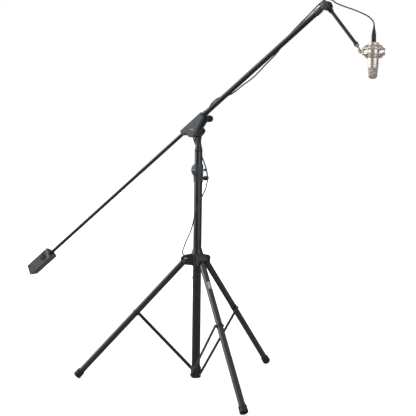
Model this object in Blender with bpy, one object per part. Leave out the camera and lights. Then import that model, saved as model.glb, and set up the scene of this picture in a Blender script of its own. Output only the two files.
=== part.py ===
"""Boom microphone stand: folding tripod, two-stage mast, counterweighted boom and a hung microphone.

Frame: origin at the centre of the mast base's flat underside, +Z up the mast, +X along the boom
towards the microphone. The feet stand at FLOOR_Z, a little below the mast base.
"""

import math

import bmesh
import bpy
from mathutils import Matrix, Vector

GAP = 0.0003  # between faces that touch
SIDES = 24  # of a large round piece
SMALL_SIDES = 14  # of a pin or stem
KNOB_SIDES = 16

# Tripod
FLOOR_Z = -0.030
LEG_AZIMUTHS = {"a": math.radians(208), "b": math.radians(328), "c": math.radians(88)}
HUB_PIN_RADIUS = 0.058
HUB_PIN_Z = 0.535
FOOT_RADIUS = 0.5593
FOOT_END_Z = FLOOR_Z + 0.0102
LEG_RUN = FOOT_RADIUS - HUB_PIN_RADIUS
LEG_DROP = HUB_PIN_Z - FOOT_END_Z
LEG_LENGTH = math.hypot(LEG_RUN, LEG_DROP)
LEG_TILT = math.atan2(LEG_RUN, LEG_DROP)
LEG_TUBE_R = 0.014
LEG_WALL = 0.0016
PIN_R = 0.0038
PIN_HOLE_R = PIN_R + GAP
TONGUE_HALF = 0.0045
EAR_INNER = TONGUE_HALF + GAP
EAR_OUTER = 0.0093
EAR_R = 0.013
HUB_KNOB_AZIMUTH = math.radians(127)
HUB_KNOB_Z = 0.576

# Braces: each flat bar lies in a plane beside its leg, offset sideways from the mast's axis
BRACE_PIN_Z = 0.014
RIVET_DISTANCE = 0.332  # along the leg, from the hub pin to the brace's rivet
RIVET_RADIUS = HUB_PIN_RADIUS + RIVET_DISTANCE * math.sin(LEG_TILT)
RIVET_Z = HUB_PIN_Z - RIVET_DISTANCE * math.cos(LEG_TILT)
BRACE_LENGTH = math.hypot(RIVET_RADIUS, RIVET_Z - BRACE_PIN_Z)
BRACE_TILT = math.atan2(RIVET_RADIUS, RIVET_Z - BRACE_PIN_Z)
BRACE_INNER = 0.0198
BRACE_OUTER = 0.0228
BRACE_HALF_WIDTH = 0.0065
RIVET_R = 0.0030
RIVET_HEAD_R = 0.0062

# Mast
OUTER_R = 0.019
OUTER_BORE = 0.0178
INNER_R = 0.0175
INNER_BORE = 0.016
BASE_R = 0.0235
BASE_TOP = 0.052
OUTER_TOP = 0.925
COLLAR_LOW = 0.893
COLLAR_TOP = 0.974
COLLAR_FACE_Z = 0.948
COLLAR_KNOB_Z = 0.908
COLLAR_PIN_Z = 0.946
INNER_LOW = 0.150
INNER_TOP = 1.030

# Boom head: the clutch turns about a +Y axis through the mast's axis
PIVOT = Vector((0.0, 0.0, 1.122))
BOOM_TILT = math.radians(36.44)
BOOM_Y = -0.044
BOOM_LIFT = 0.0225  # boom axis above the clutch axis, square to the boom
CLUTCH_R = 0.028
SEAM_Y = -0.026
CRADLE_END = 0.095
CRADLE_START = -0.050
CRADLE_HALF = 0.0138
SLEEVE_LENGTH = 0.020
CLAMP_EAR_R = 0.0105
CLAMP_ALONG = CRADLE_END - CLAMP_EAR_R  # the boom clamp's screw, in the boom's frame
CLAMP_LIFT = 0.0065

# Boom, by distance along it from the clutch
TUBE_R = 0.011
TUBE_BORE = 0.0083
TUBE_START = -0.045
TUBE_END = 0.817
ROD_R = 0.008
ROD_BORE = 0.0065
ROD_START = -1.240
ROD_END = 0.120
WEIGHT_START = -1.245
WEIGHT_END = -1.074
# The weight's section: points by distance towards -Y and upwards from the rod's axis
WEIGHT_SECTION = [(0.026, -0.023), (0.014, 0.030), (-0.002, 0.025), (-0.023, 0.006), (-0.027, -0.023)]
WEIGHT_SCREW = WEIGHT_END - 0.042
WEIGHT_SCREW_LIFT = 0.003
TIP = 0.842
TIP_R = 0.019

# Mini boom and microphone
MINI_TILT = math.radians(-49.2)
MINI_Y = -0.023
MINI_R = 0.007
MINI_LENGTH = 0.206
KNUCKLE = Vector((0.822, MINI_Y, 1.4515))
MIC_X = 0.878
MIC_TOP = 1.4887
MIC_JOIN = 1.3904
MIC_LOW = 1.3431
MIC_R = 0.021
PLUG_TOP = 1.5513
CAGE_R = 0.0455
CAGE_WIRE = 0.0026
CAGE_TOP = 1.4615
CAGE_LOW = 1.4415
CLAMP_RIM_R = 0.0262

# Cable
CABLE_R = 0.00275
CABLE_STEP = 0.0165  # between the tube's points
CABLE_GAP = 0.0015  # between two tubes that follow each other
HANK_AZIMUTH = math.radians(133)
HANK_RADIUS = 0.046
HANK_TOP = 0.498
HANK_LENGTH = 0.100
HANK_WIDTH = 0.0275
HANK_DEPTH = 0.0225

Z_AXIS = Vector((0, 0, 1))


# ---------------------------------------------------------------- helpers

def clear_scene():
    for obj in list(bpy.data.objects):
        bpy.data.objects.remove(obj, do_unlink=True)


def material(name, color, roughness, metallic=0.0):
    mat = bpy.data.materials.new(name)
    mat.use_nodes = True
    shader = mat.node_tree.nodes["Principled BSDF"]
    shader.inputs["Base Color"].default_value = (*color, 1.0)
    shader.inputs["Roughness"].default_value = roughness
    shader.inputs["Metallic"].default_value = metallic
    return mat


def empty(name, location, rotation=(0, 0, 0)):
    obj = bpy.data.objects.new(name, None)
    obj.location = location
    obj.rotation_euler = rotation
    bpy.context.collection.objects.link(obj)
    return obj


def add_object(name, bm, mat, parent=None):
    """Turns a bmesh into a smooth-shaded object, under its joint's empty where it has one."""
    bmesh.ops.recalc_face_normals(bm, faces=bm.faces)
    mesh = bpy.data.meshes.new(name)
    bm.to_mesh(mesh)
    bm.free()
    mesh.shade_smooth()
    mesh.set_sharp_from_angle(angle=math.radians(35))
    mesh.materials.append(mat)
    obj = bpy.data.objects.new(name, mesh)
    obj.parent = parent
    bpy.context.collection.objects.link(obj)
    return obj


def turned(profile, sides=SIDES):
    """A solid turned about Z from (radius, z) points. A profile clear of the axis makes a tube."""
    bm = bmesh.new()
    verts = [bm.verts.new((r, 0, z)) for r, z in profile]
    edges = [bm.edges.new(pair) for pair in zip(verts, verts[1:])]
    if profile[0][0] > 0:
        edges.append(bm.edges.new((verts[-1], verts[0])))
    bmesh.ops.spin(bm, geom=verts + edges, cent=(0, 0, 0), axis=(0, 0, 1), angle=2 * math.pi,
                   steps=sides, use_merge=True)
    bmesh.ops.remove_doubles(bm, verts=bm.verts, dist=1e-6)
    return bm


def pipe(inner, outer, low, high, sides=SIDES):
    return turned([(inner, low), (outer, low), (outer, high), (inner, high)], sides)


def bar(radius, low, high, sides=SMALL_SIDES):
    return turned([(0, low), (radius, low), (radius, high), (0, high)], sides)


def plate(outline, low, high):
    """An outline of (x, z) points, extruded along Y from low to high."""
    bm = bmesh.new()
    face = bm.faces.new([bm.verts.new((x, low, z)) for x, z in outline])
    grown = bmesh.ops.extrude_face_region(bm, geom=[face])
    moved = [v for v in grown["geom"] if isinstance(v, bmesh.types.BMVert)]
    bmesh.ops.translate(bm, verts=moved, vec=(0, high - low, 0))
    return bm


def block(low, high):
    """A box between two corners."""
    outline = [(low[0], low[2]), (high[0], low[2]), (high[0], high[2]), (low[0], high[2])]
    return plate(outline, low[1], high[1])


def arc(center, radius, start, end, steps):
    """Points of an arc from start to end, both in degrees."""
    angles = [math.radians(start + (end - start) * i / steps) for i in range(steps + 1)]
    return [(center[0] + radius * math.cos(a), center[1] + radius * math.sin(a)) for a in angles]


def facing(bm, direction, origin=(0, 0, 0)):
    """Turns a bmesh that stands on Z to stand on another direction, at an origin."""
    turn = Z_AXIS.rotation_difference(Vector(direction)).to_matrix().to_4x4()
    bmesh.ops.transform(bm, matrix=Matrix.Translation(origin) @ turn, verts=bm.verts)
    return bm


def turned_about_z(bm, angle):
    bmesh.ops.transform(bm, matrix=Matrix.Rotation(angle, 4, "Z"), verts=bm.verts)
    return bm


def together(*parts):
    """Several bmeshes in one, still separate bodies: for cutters and for unions."""
    whole = bmesh.new()
    for part in parts:
        mesh = bpy.data.meshes.new("part")
        part.to_mesh(mesh)
        part.free()
        whole.from_mesh(mesh)
        bpy.data.meshes.remove(mesh)
    return whole


def boolean(obj, bm, operation):
    """Cuts or adds a bmesh given in the object's own frame."""
    tool = add_object(f"{obj.name}_{operation.lower()}_tool", bm, obj.data.materials[0], obj.parent)
    tool.hide_render = True
    tool.display_type = "WIRE"
    modifier = obj.modifiers.new(operation.title(), "BOOLEAN")
    modifier.operation = operation
    modifier.solver = "EXACT"
    modifier.object = tool
    return obj


def cut(obj, bm):
    return boolean(obj, bm, "DIFFERENCE")


def add(obj, bm):
    return boolean(obj, bm, "UNION")


def bevel(obj, width, segments=2, angle=50):
    modifier = obj.modifiers.new("Bevel", "BEVEL")
    modifier.width = width
    modifier.segments = segments
    modifier.limit_method = "ANGLE"
    modifier.angle_limit = math.radians(angle)
    return obj


def knob_profile(stem_r, stem_low, low, high, radius, rounding=0.003):
    """A stem from stem_low to low, then a knob with a rounded rim up to high."""
    return ([(0, stem_low), (stem_r, stem_low), (stem_r, low), (radius - 0.001, low),
             (radius, low + 0.001)]
            + arc((radius - rounding, high - rounding), rounding, 0, 90, 3)
            + [(0, high)])


# ---------------------------------------------------------------- materials

def make_materials():
    return {
        "mast_paint": material("mast_paint", (0.035, 0.035, 0.038), 0.42, 0.3),
        "leg_paint": material("leg_paint", (0.04, 0.04, 0.043), 0.42, 0.3),
        "brace_paint": material("brace_paint", (0.03, 0.03, 0.032), 0.45, 0.3),
        "casting": material("casting", (0.05, 0.05, 0.054), 0.5, 0.2),
        "head_plastic": material("head_plastic", (0.10, 0.12, 0.15), 0.5),
        "knob_plastic": material("knob_plastic", (0.015, 0.015, 0.016), 0.4),
        "bolt_steel": material("bolt_steel", (0.15, 0.15, 0.16), 0.35, 0.9),
        "foot_rubber": material("foot_rubber", (0.02, 0.02, 0.02), 0.8),
        "boom_paint": material("boom_paint", (0.02, 0.02, 0.022), 0.35, 0.3),
        "weight_paint": material("weight_paint", (0.13, 0.13, 0.14), 0.55),
        "mic_nickel": material("mic_nickel", (0.80, 0.74, 0.66), 0.28, 1.0),
        "mic_grille": material("mic_grille", (0.45, 0.40, 0.35), 0.5, 0.8),
        "elastic": material("elastic", (0.55, 0.50, 0.45), 0.8),
        "connector": material("connector", (0.03, 0.03, 0.032), 0.4, 0.5),
        "cable_jacket": material("cable_jacket", (0.03, 0.03, 0.032), 0.6),
    }


# ---------------------------------------------------------------- tripod

def make_base(m):
    """The casting at the mast's foot: a plug in the tube and three flats that carry the braces."""
    profile = [(0, 0), (BASE_R - 0.002, 0), (BASE_R, 0.002), (BASE_R, BASE_TOP),
               (0.0172, BASE_TOP), (0.0172, BASE_TOP + 0.030), (0, BASE_TOP + 0.030)]
    base = add_object("mast_base", turned(profile), m["casting"])
    flat = BRACE_INNER - GAP
    for azimuth in LEG_AZIMUTHS.values():
        slab = block((-0.03, -0.03, -0.001), (0.03, -flat, BASE_TOP + 0.0001))
        cut(base, turned_about_z(slab, azimuth))
    for key, azimuth in LEG_AZIMUTHS.items():
        pin = brace_fastener(f"brace_pin_{key}", m["bolt_steel"])
        pin.location = (0, 0, BRACE_PIN_Z)
        pin.rotation_euler = (0, 0, azimuth)


def brace_fastener(name, mat):
    """A round-headed rivet through a brace bar: its shank runs in the bar's hole."""
    head_low = BRACE_OUTER + GAP
    profile = [(0, BRACE_INNER), (RIVET_R, BRACE_INNER), (RIVET_R, head_low), (RIVET_HEAD_R, head_low),
               (RIVET_HEAD_R, head_low + 0.0012), (RIVET_HEAD_R - 0.0016, head_low + 0.0026),
               (0, head_low + 0.003)]
    return add_object(name, facing(turned(profile, SMALL_SIDES), (0, -1, 0)), mat)


def make_brace(key, azimuth, m):
    axis = empty(f"brace_{key}_axis", (0, 0, BRACE_PIN_Z), (0, BRACE_TILT, azimuth))
    outline = (arc((0, 0), BRACE_HALF_WIDTH, 180, 360, 8)
               + arc((0, BRACE_LENGTH), BRACE_HALF_WIDTH, 0, 180, 8))
    flat = plate(outline, -BRACE_OUTER, -BRACE_INNER)
    brace = add_object(f"brace_{key}", flat, m["brace_paint"], axis)
    hole_r = RIVET_R + GAP
    holes = [facing(bar(hole_r, 0.015, 0.030), (0, -1, 0), (0, 0, z)) for z in (0, BRACE_LENGTH)]
    cut(brace, together(*holes))
    rivet = brace_fastener(f"brace_rivet_{key}", m["bolt_steel"])
    rivet.parent = axis
    rivet.location = (0, 0, BRACE_LENGTH)


def make_leg(key, azimuth, m):
    radial = Vector((math.cos(azimuth), math.sin(azimuth), 0))
    hinge = radial * HUB_PIN_RADIUS + Z_AXIS * HUB_PIN_Z
    axis = empty(f"leg_{key}_axis", hinge, (0, -LEG_TILT, azimuth))
    make_yoke(key, axis, m)
    bore = LEG_TUBE_R - LEG_WALL
    tube_end = -LEG_LENGTH + 0.0063
    add_object(f"leg_tube_{key}", pipe(bore, LEG_TUBE_R, tube_end, -0.0353), m["leg_paint"], axis)
    make_clip(key, axis, m)
    make_foot(key, axis, m)


def make_yoke(key, axis, m):
    """A plug and shoulder in the leg tube's top, with a tongue that swings between the hub's ears."""
    plug_r = LEG_TUBE_R - LEG_WALL - GAP
    profile = [(0, -0.075), (plug_r, -0.075), (plug_r, -0.035), (LEG_TUBE_R, -0.035),
               (LEG_TUBE_R, -0.030), (0.011, -0.026), (0, -0.026)]
    yoke = add_object(f"leg_yoke_{key}", turned(profile, KNOB_SIDES), m["casting"], axis)
    tongue = arc((0, 0), 0.0105, 0, 180, 8) + [(-0.0105, -0.030), (0.0105, -0.030)]
    add(yoke, plate(tongue, -TONGUE_HALF, TONGUE_HALF))
    cut(yoke, facing(bar(PIN_HOLE_R, -0.02, 0.02), (0, 1, 0)))


def make_clip(key, axis, m):
    """A band round the leg with the brace's boss on one side and a nut on the other."""
    inner = LEG_TUBE_R + GAP
    outer = 0.0165
    profile = [(inner, -0.013), (outer, -0.013), (outer, 0.013), (inner, 0.013)]
    band = turned(profile, KNOB_SIDES)
    clip = add_object(f"leg_clip_{key}", band, m["casting"], axis)
    clip.location = (0, 0, -RIVET_DISTANCE)
    boss = facing(bar(0.0072, 0.0146, BRACE_INNER - GAP), (0, -1, 0))
    nut = facing(bar(0.0060, 0.0146, 0.0200, 6), (0, 1, 0))
    add(clip, together(boss, nut))
    clip.modifiers[-1].object.location = clip.location


def make_foot(key, axis, m):
    """A rubber cap whose lower rim is cut flat by the floor."""
    outer = 0.0185
    inner = LEG_TUBE_R + GAP
    rounding = 0.0025
    end = -LEG_LENGTH
    profile = ([(0, end)] + arc((outer - rounding, end + rounding), rounding, 270, 360, 2)
               + [(outer - 0.0008, end + 0.034), (inner, end + 0.034), (inner, end + 0.006),
                  (0, end + 0.006)])
    foot = add_object(f"foot_{key}", turned(profile), m["foot_rubber"], axis)
    floor = block((-1, -1, FLOOR_Z - 0.1), (1, 1, FLOOR_Z))
    tool = cut(foot, floor).modifiers[-1].object
    tool.parent = None


def make_hub(m):
    """The sliding casting: a sleeve, three pairs of ears for the legs and a boss for its knob."""
    bore = OUTER_R + GAP
    profile = [(bore, 0.514), (0.0245, 0.514), (0.0252, 0.516), (0.0262, 0.545), (0.0280, 0.566),
               (0.0262, 0.571), (0.0225, 0.583), (0.0205, 0.592), (bore, 0.592)]
    hub = add_object("hub_body", turned(profile), m["casting"])
    add(hub, together(*hub_ears()))
    azimuth = HUB_KNOB_AZIMUTH
    out = (math.cos(azimuth), math.sin(azimuth), 0)
    add(hub, facing(bar(0.0075, 0.0205, 0.0275), out, (0, 0, HUB_KNOB_Z)))
    holes = []
    for leg_azimuth in LEG_AZIMUTHS.values():
        hole = facing(bar(PIN_HOLE_R, -0.02, 0.02), (0, 1, 0), (HUB_PIN_RADIUS, 0, HUB_PIN_Z))
        holes.append(turned_about_z(hole, leg_azimuth))
    cut(hub, together(*holes))
    knob_bm = turned(knob_profile(0.004, 0.0278, 0.0300, 0.0500, 0.012), KNOB_SIDES)
    knob = add_object("hub_knob", knob_bm, m["knob_plastic"])
    knob.location = (0, 0, HUB_KNOB_Z)
    knob.rotation_euler = (0, math.pi / 2, azimuth)
    for key, leg_azimuth in LEG_AZIMUTHS.items():
        pin = make_leg_pin(key, m)
        outward = Vector((math.cos(leg_azimuth), math.sin(leg_azimuth), 0))
        pin.location = outward * HUB_PIN_RADIUS + Z_AXIS * HUB_PIN_Z
        pin.rotation_euler = (0, 0, leg_azimuth)


def hub_ears():
    """Six flat ears, two for each leg, running out from the sleeve and standing over the pins."""
    low = HUB_PIN_Z - EAR_R
    outline = ([(0.0205, 0.5660), (0.0205, low)] + arc((HUB_PIN_RADIUS, HUB_PIN_Z), EAR_R, -90, 0, 5)
               + [(HUB_PIN_RADIUS + EAR_R, 0.5500), (0.0690, 0.5555), (0.0640, 0.5590)])
    ears = []
    for azimuth in LEG_AZIMUTHS.values():
        for side in (1, -1):
            near, far = sorted((side * EAR_INNER, side * EAR_OUTER))
            ears.append(turned_about_z(plate(outline, near, far), azimuth))
    return ears


def make_leg_pin(key, m):
    """A hub bolt with a head outside each ear."""
    head_low = EAR_OUTER + GAP
    head_high = head_low + 0.003
    profile = [(0, -head_high), (RIVET_HEAD_R, -head_high), (RIVET_HEAD_R, -head_low), (PIN_R, -head_low),
               (PIN_R, head_low), (RIVET_HEAD_R, head_low), (RIVET_HEAD_R, head_high), (0, head_high)]
    return add_object(f"leg_pin_{key}", facing(turned(profile, SMALL_SIDES), (0, 1, 0)), m["bolt_steel"])


# ---------------------------------------------------------------- mast

def make_mast(m):
    add_object("mast_outer", pipe(OUTER_BORE, OUTER_R, BASE_TOP + GAP, OUTER_TOP), m["mast_paint"])
    add_object("mast_inner", pipe(INNER_BORE, INNER_R, INNER_LOW, INNER_TOP), m["mast_paint"])
    make_collar(m)


def face_outline(half_width=0.0195, half_height=0.0255, steps=20):
    """The oval of the collar's face and its cover."""
    angles = [2 * math.pi * i / steps for i in range(steps)]
    return [(half_width * math.cos(a), COLLAR_FACE_Z + half_height * math.sin(a)) for a in angles]


def make_collar(m):
    """The height clamp: a stepped sleeve with an oval face, a knob boss and a pin boss behind."""
    low_bore, high_bore, step = OUTER_R + GAP, INNER_R + GAP, OUTER_TOP + GAP
    profile = [(low_bore, COLLAR_LOW), (0.0215, COLLAR_LOW), (0.0222, COLLAR_LOW + 0.001),
               (0.0222, COLLAR_TOP - 0.008), (0.0200, COLLAR_TOP), (high_bore, COLLAR_TOP),
               (high_bore, step), (low_bore, step)]
    collar = add_object("collar_body", turned(profile), m["head_plastic"])
    face = plate(face_outline(), -0.0235, -0.0050)
    knob_boss = facing(bar(0.0080, 0.0195, 0.0290), (0, 1, 0), (0, 0, COLLAR_KNOB_Z))
    pin_boss = facing(bar(0.0065, 0.0185, 0.0290), (0, 1, 0), (0, 0, COLLAR_PIN_Z))
    add(collar, together(face, knob_boss, pin_boss))
    below, above = COLLAR_LOW - 0.01, COLLAR_TOP + 0.01
    cut(collar, turned([(0, below), (low_bore, below), (low_bore, step), (high_bore, step),
                        (high_bore, above), (0, above)]))
    cover = add_object("collar_cover", plate(face_outline(), -0.0290, -0.0238), m["head_plastic"])
    bevel(cover, 0.003)
    knob = turned(knob_profile(0.004, 0.0293, 0.0440, 0.0690, 0.0105), KNOB_SIDES)
    add_object("collar_knob", facing(knob, (0, 1, 0)), m["knob_plastic"]).location = (0, 0, COLLAR_KNOB_Z)
    pin = turned(knob_profile(0.0030, 0.0293, 0.0420, 0.0540, 0.0060, 0.002), SMALL_SIDES)
    add_object("collar_pin", facing(pin, (0, 1, 0)), m["bolt_steel"]).location = (0, 0, COLLAR_PIN_Z)


# ---------------------------------------------------------------- boom head

def make_head(m):
    """The neck on the inner mast and the rear half of the clutch."""
    profile = [(0, 1.026), (0.0157, 1.026), (0.0157, INNER_TOP + GAP), (0.0175, INNER_TOP + GAP),
               (0.0175, 1.034), (0.0165, 1.040), (0.0128, 1.060), (0.0106, 1.076), (0.0102, 1.084),
               (0.0110, 1.112), (0, 1.112)]
    neck = add_object("head_neck", turned(profile), m["casting"])
    lobe = turned([(0, SEAM_Y + GAP), (CLUTCH_R, SEAM_Y + GAP), (CLUTCH_R, 0.004),
                   (CLUTCH_R - 0.004, 0.0110), (0, 0.0110)])
    add(neck, facing(lobe, (0, 1, 0), PIVOT))
    knob = turned(knob_profile(0.005, 0.0113, 0.0135, 0.0340, 0.0135), KNOB_SIDES)
    add_object("head_knob", facing(knob, (0, 1, 0)), m["knob_plastic"]).location = PIVOT


def shell_outline(corner_center, corner_radius):
    """A cradle half from its side: a body round the boom, a web and a round clutch lobe.

    The web's lower edge is tangent to the lobe and to the circle given for its far corner.
    """
    corner = 0.005
    top, low = BOOM_LIFT + CRADLE_HALF, BOOM_LIFT - CRADLE_HALF
    lobe_angle = math.degrees(math.asin(low / CLUTCH_R))
    reach = math.hypot(*corner_center)
    bearing = math.atan2(corner_center[1], corner_center[0])
    tangent = 360 + math.degrees(bearing - math.acos((CLUTCH_R - corner_radius) / reach))
    right, left = CRADLE_END, CRADLE_START
    return (arc((right - corner, top - corner), corner, 0, 90, 3)
            + arc((left + corner, top - corner), corner, 90, 180, 3)
            + arc((left + corner, low + corner), corner, 180, 270, 3)
            + arc((0, 0), CLUTCH_R, 180 - lobe_angle, tangent, 16)
            + arc(corner_center, corner_radius, tangent, 360, 4))


def along_boom(bm):
    """Turns a bmesh that stands on Z to run along the boom's own axis."""
    return facing(bm, (1, 0, 0), (0, BOOM_Y, BOOM_LIFT))


def make_cradle(tilt, m):
    """Two half shells round the boom, a sleeve after them and the clamp's knob behind their ear."""
    groove = TUBE_R + GAP
    ear = shell_outline((CLAMP_ALONG, CLAMP_LIFT), CLAMP_EAR_R)
    plain = shell_outline((CRADLE_END - 0.005, BOOM_LIFT - CRADLE_HALF + 0.005), 0.005)
    inner_half = plate(ear, BOOM_Y + GAP, SEAM_Y)
    outer_half = plate(plain, BOOM_Y - 0.0180, BOOM_Y - GAP)
    round_outer_rim(outer_half)
    for name, half in (("boom_saddle", inner_half), ("boom_cover", outer_half)):
        shell = add_object(name, half, m["head_plastic"], tilt)
        cut(shell, along_boom(bar(groove, CRADLE_START - 0.05, CRADLE_END + 0.05, SIDES)))
    start = CRADLE_END + GAP
    ring_end = start + SLEEVE_LENGTH
    sleeve = turned([(groove, start), (0.0150, start), (0.0150, ring_end), (groove, ring_end)])
    add_object("boom_sleeve", along_boom(sleeve), m["casting"], tilt)
    knob = turned(knob_profile(0.0045, SEAM_Y + GAP, -0.0225, 0.0035, 0.0150, 0.007), KNOB_SIDES)
    knob_obj = add_object("boom_knob", facing(knob, (0, 1, 0)), m["knob_plastic"], tilt)
    knob_obj.location = (CLAMP_ALONG, 0, CLAMP_LIFT)


def round_outer_rim(bm, width=0.005):
    """Rounds only the rim of a plate's outermost -Y face."""
    low = min(v.co.y for v in bm.verts)
    rim = [e for e in bm.edges if all(v.co.y < low + 1e-6 for v in e.verts)]
    bmesh.ops.bevel(bm, geom=rim, offset=width, segments=3, profile=0.5, affect="EDGES")


# ---------------------------------------------------------------- boom

def make_boom(tilt, m):
    tube = pipe(TUBE_BORE, TUBE_R, TUBE_START, TUBE_END)
    add_object("boom_tube", along_boom(tube), m["boom_paint"], tilt)
    rod = pipe(ROD_BORE, ROD_R, ROD_START, ROD_END)
    add_object("boom_rod", along_boom(rod), m["boom_paint"], tilt)
    make_weight(tilt, m)
    make_tip(tilt, m)


def make_weight(tilt, m):
    """A five-sided iron block on the rod, with a slot in its edge and a pocket for its thumb screw."""
    prism = turned_about_z(plate(WEIGHT_SECTION, WEIGHT_START, WEIGHT_END), -math.pi / 2)
    bmesh.ops.translate(prism, verts=prism.verts, vec=(0, BOOM_Y, BOOM_LIFT))
    weight = add_object("counterweight", prism, m["weight_paint"], tilt)
    bore = bar(ROD_R + GAP, WEIGHT_START - 0.01, WEIGHT_END + 0.01, SIDES)
    cut(weight, along_boom(bore))
    place = (WEIGHT_SCREW, BOOM_Y, BOOM_LIFT + WEIGHT_SCREW_LIFT)
    cut(weight, facing(bar(0.0165, 0.0135, 0.0400, KNOB_SIDES), (0, -1, 0), place))
    slot_low = (WEIGHT_END - 0.047, BOOM_Y - 0.040, BOOM_LIFT + 0.0215)
    slot_high = (WEIGHT_END - 0.019, BOOM_Y - 0.004, BOOM_LIFT + 0.040)
    cut(weight, block(slot_low, slot_high))
    knob = turned(knob_profile(0.0030, 0.0138, 0.0160, 0.0270, 0.0120, 0.002), KNOB_SIDES)
    knob_obj = add_object("weight_knob", facing(knob, (0, -1, 0)), m["knob_plastic"], tilt)
    knob_obj.location = place


def make_tip(tilt, m):
    """The fixed half of the boom's end swivel: a socket on the tube and a disc."""
    disc = turned([(0, 0), (TIP_R - 0.002, 0), (TIP_R, 0.002), (TIP_R, 0.0235), (0, 0.0235)])
    facing(disc, (0, 1, 0), (TIP, BOOM_Y - 0.0140, BOOM_LIFT))
    tip = add_object("tip_body", disc, m["head_plastic"], tilt)
    socket = turned([(TUBE_R + GAP, 0.790), (0.0135, 0.790), (0.0135, TUBE_END - 0.002), (0.0090, 0.822),
                     (0.0090, 0.832), (0, 0.832), (0, TUBE_END + GAP), (TUBE_R + GAP, TUBE_END + GAP)])
    add(tip, along_boom(socket))


# ---------------------------------------------------------------- mini boom and microphone

def tip_point(y):
    """The tip swivel's axis where it passes y."""
    along = Vector((math.cos(BOOM_TILT), 0, math.sin(BOOM_TILT)))
    square = Vector((-math.sin(BOOM_TILT), 0, math.cos(BOOM_TILT)))
    point = PIVOT + along * TIP + square * BOOM_LIFT
    point.y = y
    return point


def make_mini_boom(m):
    swing = empty("mini_boom_axis", tip_point(0), (0, -MINI_TILT, 0))
    disc = turned([(0, -0.0342), (TIP_R, -0.0342), (TIP_R, -0.0145), (TIP_R - 0.002, -0.0125),
                   (0, -0.0125)])
    clamp = add_object("tip_clamp", facing(disc, (0, 1, 0)), m["casting"], swing)
    add(clamp, facing(bar(0.0095, 0.010, 0.032), (1, 0, 0), (0, MINI_Y, 0)))
    cut(clamp, facing(bar(MINI_R + GAP, 0.020, 0.040), (1, 0, 0), (0, MINI_Y, 0)))
    profile = [(0, 0.0203), (MINI_R, 0.0203), (MINI_R, MINI_LENGTH), (0.0100, MINI_LENGTH),
               (0.0100, MINI_LENGTH + 0.0035), (0.0040, MINI_LENGTH + 0.0035),
               (0.0040, MINI_LENGTH + 0.0130), (0, MINI_LENGTH + 0.0130)]
    mini = facing(turned(profile, SMALL_SIDES), (1, 0, 0), (0, MINI_Y, 0))
    add_object("mini_boom", mini, m["boom_paint"], swing)
    knob = turned(knob_profile(0.004, -0.0122, -0.0100, 0.0080, 0.0085), KNOB_SIDES)
    add_object("tip_knob", facing(knob, (0, 1, 0)), m["knob_plastic"], swing)
    make_mic_swivel(swing, m)


def make_mic_swivel(swing, m):
    """A nut on the mini boom's stud, with two ears and a pin at the knuckle."""
    start = MINI_LENGTH + 0.0035 + GAP
    nut = turned([(0.0043, start), (0.0085, start), (0.0085, start + 0.011), (0, start + 0.011),
                  (0, start + 0.0100), (0.0043, start + 0.0100)], SMALL_SIDES)
    swivel = add_object("mic_swivel", facing(nut, (1, 0, 0), (0, MINI_Y, 0)), m["mic_nickel"], swing)
    rise = Matrix.Rotation(MINI_TILT, 4, "Y") @ (KNUCKLE - tip_point(MINI_Y))
    root = start + 0.0105
    outline = arc((rise.x, rise.z), 0.0062, -90, 90, 8) + [(root, 0.0060), (root, -0.0060)]
    ears = [plate(outline, MINI_Y + low, MINI_Y + low + 0.0033) for low in (-0.0066, 0.0033)]
    add(swivel, together(*ears))
    pin = bar(0.0025, MINI_Y - 0.0050, MINI_Y + 0.0050)
    add(swivel, facing(pin, (0, 1, 0), (rise.x, 0, rise.z)))


def ring(radius, wire, z, around=24, sides=6):
    """A wire ring about Z."""
    bm = bmesh.new()
    section = [bm.verts.new((radius + wire * math.cos(a), 0, z + wire * math.sin(a)))
               for a in (2 * math.pi * i / sides for i in range(sides))]
    edges = [bm.edges.new((section[i], section[(i + 1) % sides])) for i in range(sides)]
    bmesh.ops.spin(bm, geom=section + edges, cent=(0, 0, 0), axis=(0, 0, 1), angle=2 * math.pi,
                   steps=around, use_merge=True)
    bmesh.ops.remove_doubles(bm, verts=bm.verts, dist=1e-6)
    return bm


def make_microphone(m):
    axis = empty("mic_axis", (MIC_X, MINI_Y, 0))
    make_shock_mount(axis, m)
    body = [(0, MIC_JOIN), (MIC_R - 0.001, MIC_JOIN), (MIC_R, MIC_JOIN + 0.001), (MIC_R, MIC_TOP - 0.006),
            (MIC_R - 0.004, MIC_TOP - 0.001), (0.0135, MIC_TOP), (0, MIC_TOP)]
    add_object("mic_body", turned(body), m["mic_nickel"], axis)
    grille_top = MIC_JOIN - GAP
    grille = ([(0, grille_top), (MIC_R - 0.0003, grille_top), (MIC_R - 0.0005, MIC_LOW + 0.016)]
              + arc((0.0105, MIC_LOW + 0.010), 0.0100, 0, -90, 5) + [(0, MIC_LOW)])
    add_object("mic_grille", turned(grille), m["mic_grille"], axis)
    low = MIC_TOP + GAP
    plug = [(0, low), (0.0095, low), (0.0095, low + 0.012), (0.0088, low + 0.014), (0.0088, low + 0.044),
            (0.0070, low + 0.048), (0.0040, PLUG_TOP), (0, PLUG_TOP)]
    add_object("mic_connector", turned(plug, KNOB_SIDES), m["connector"], axis)


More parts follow.
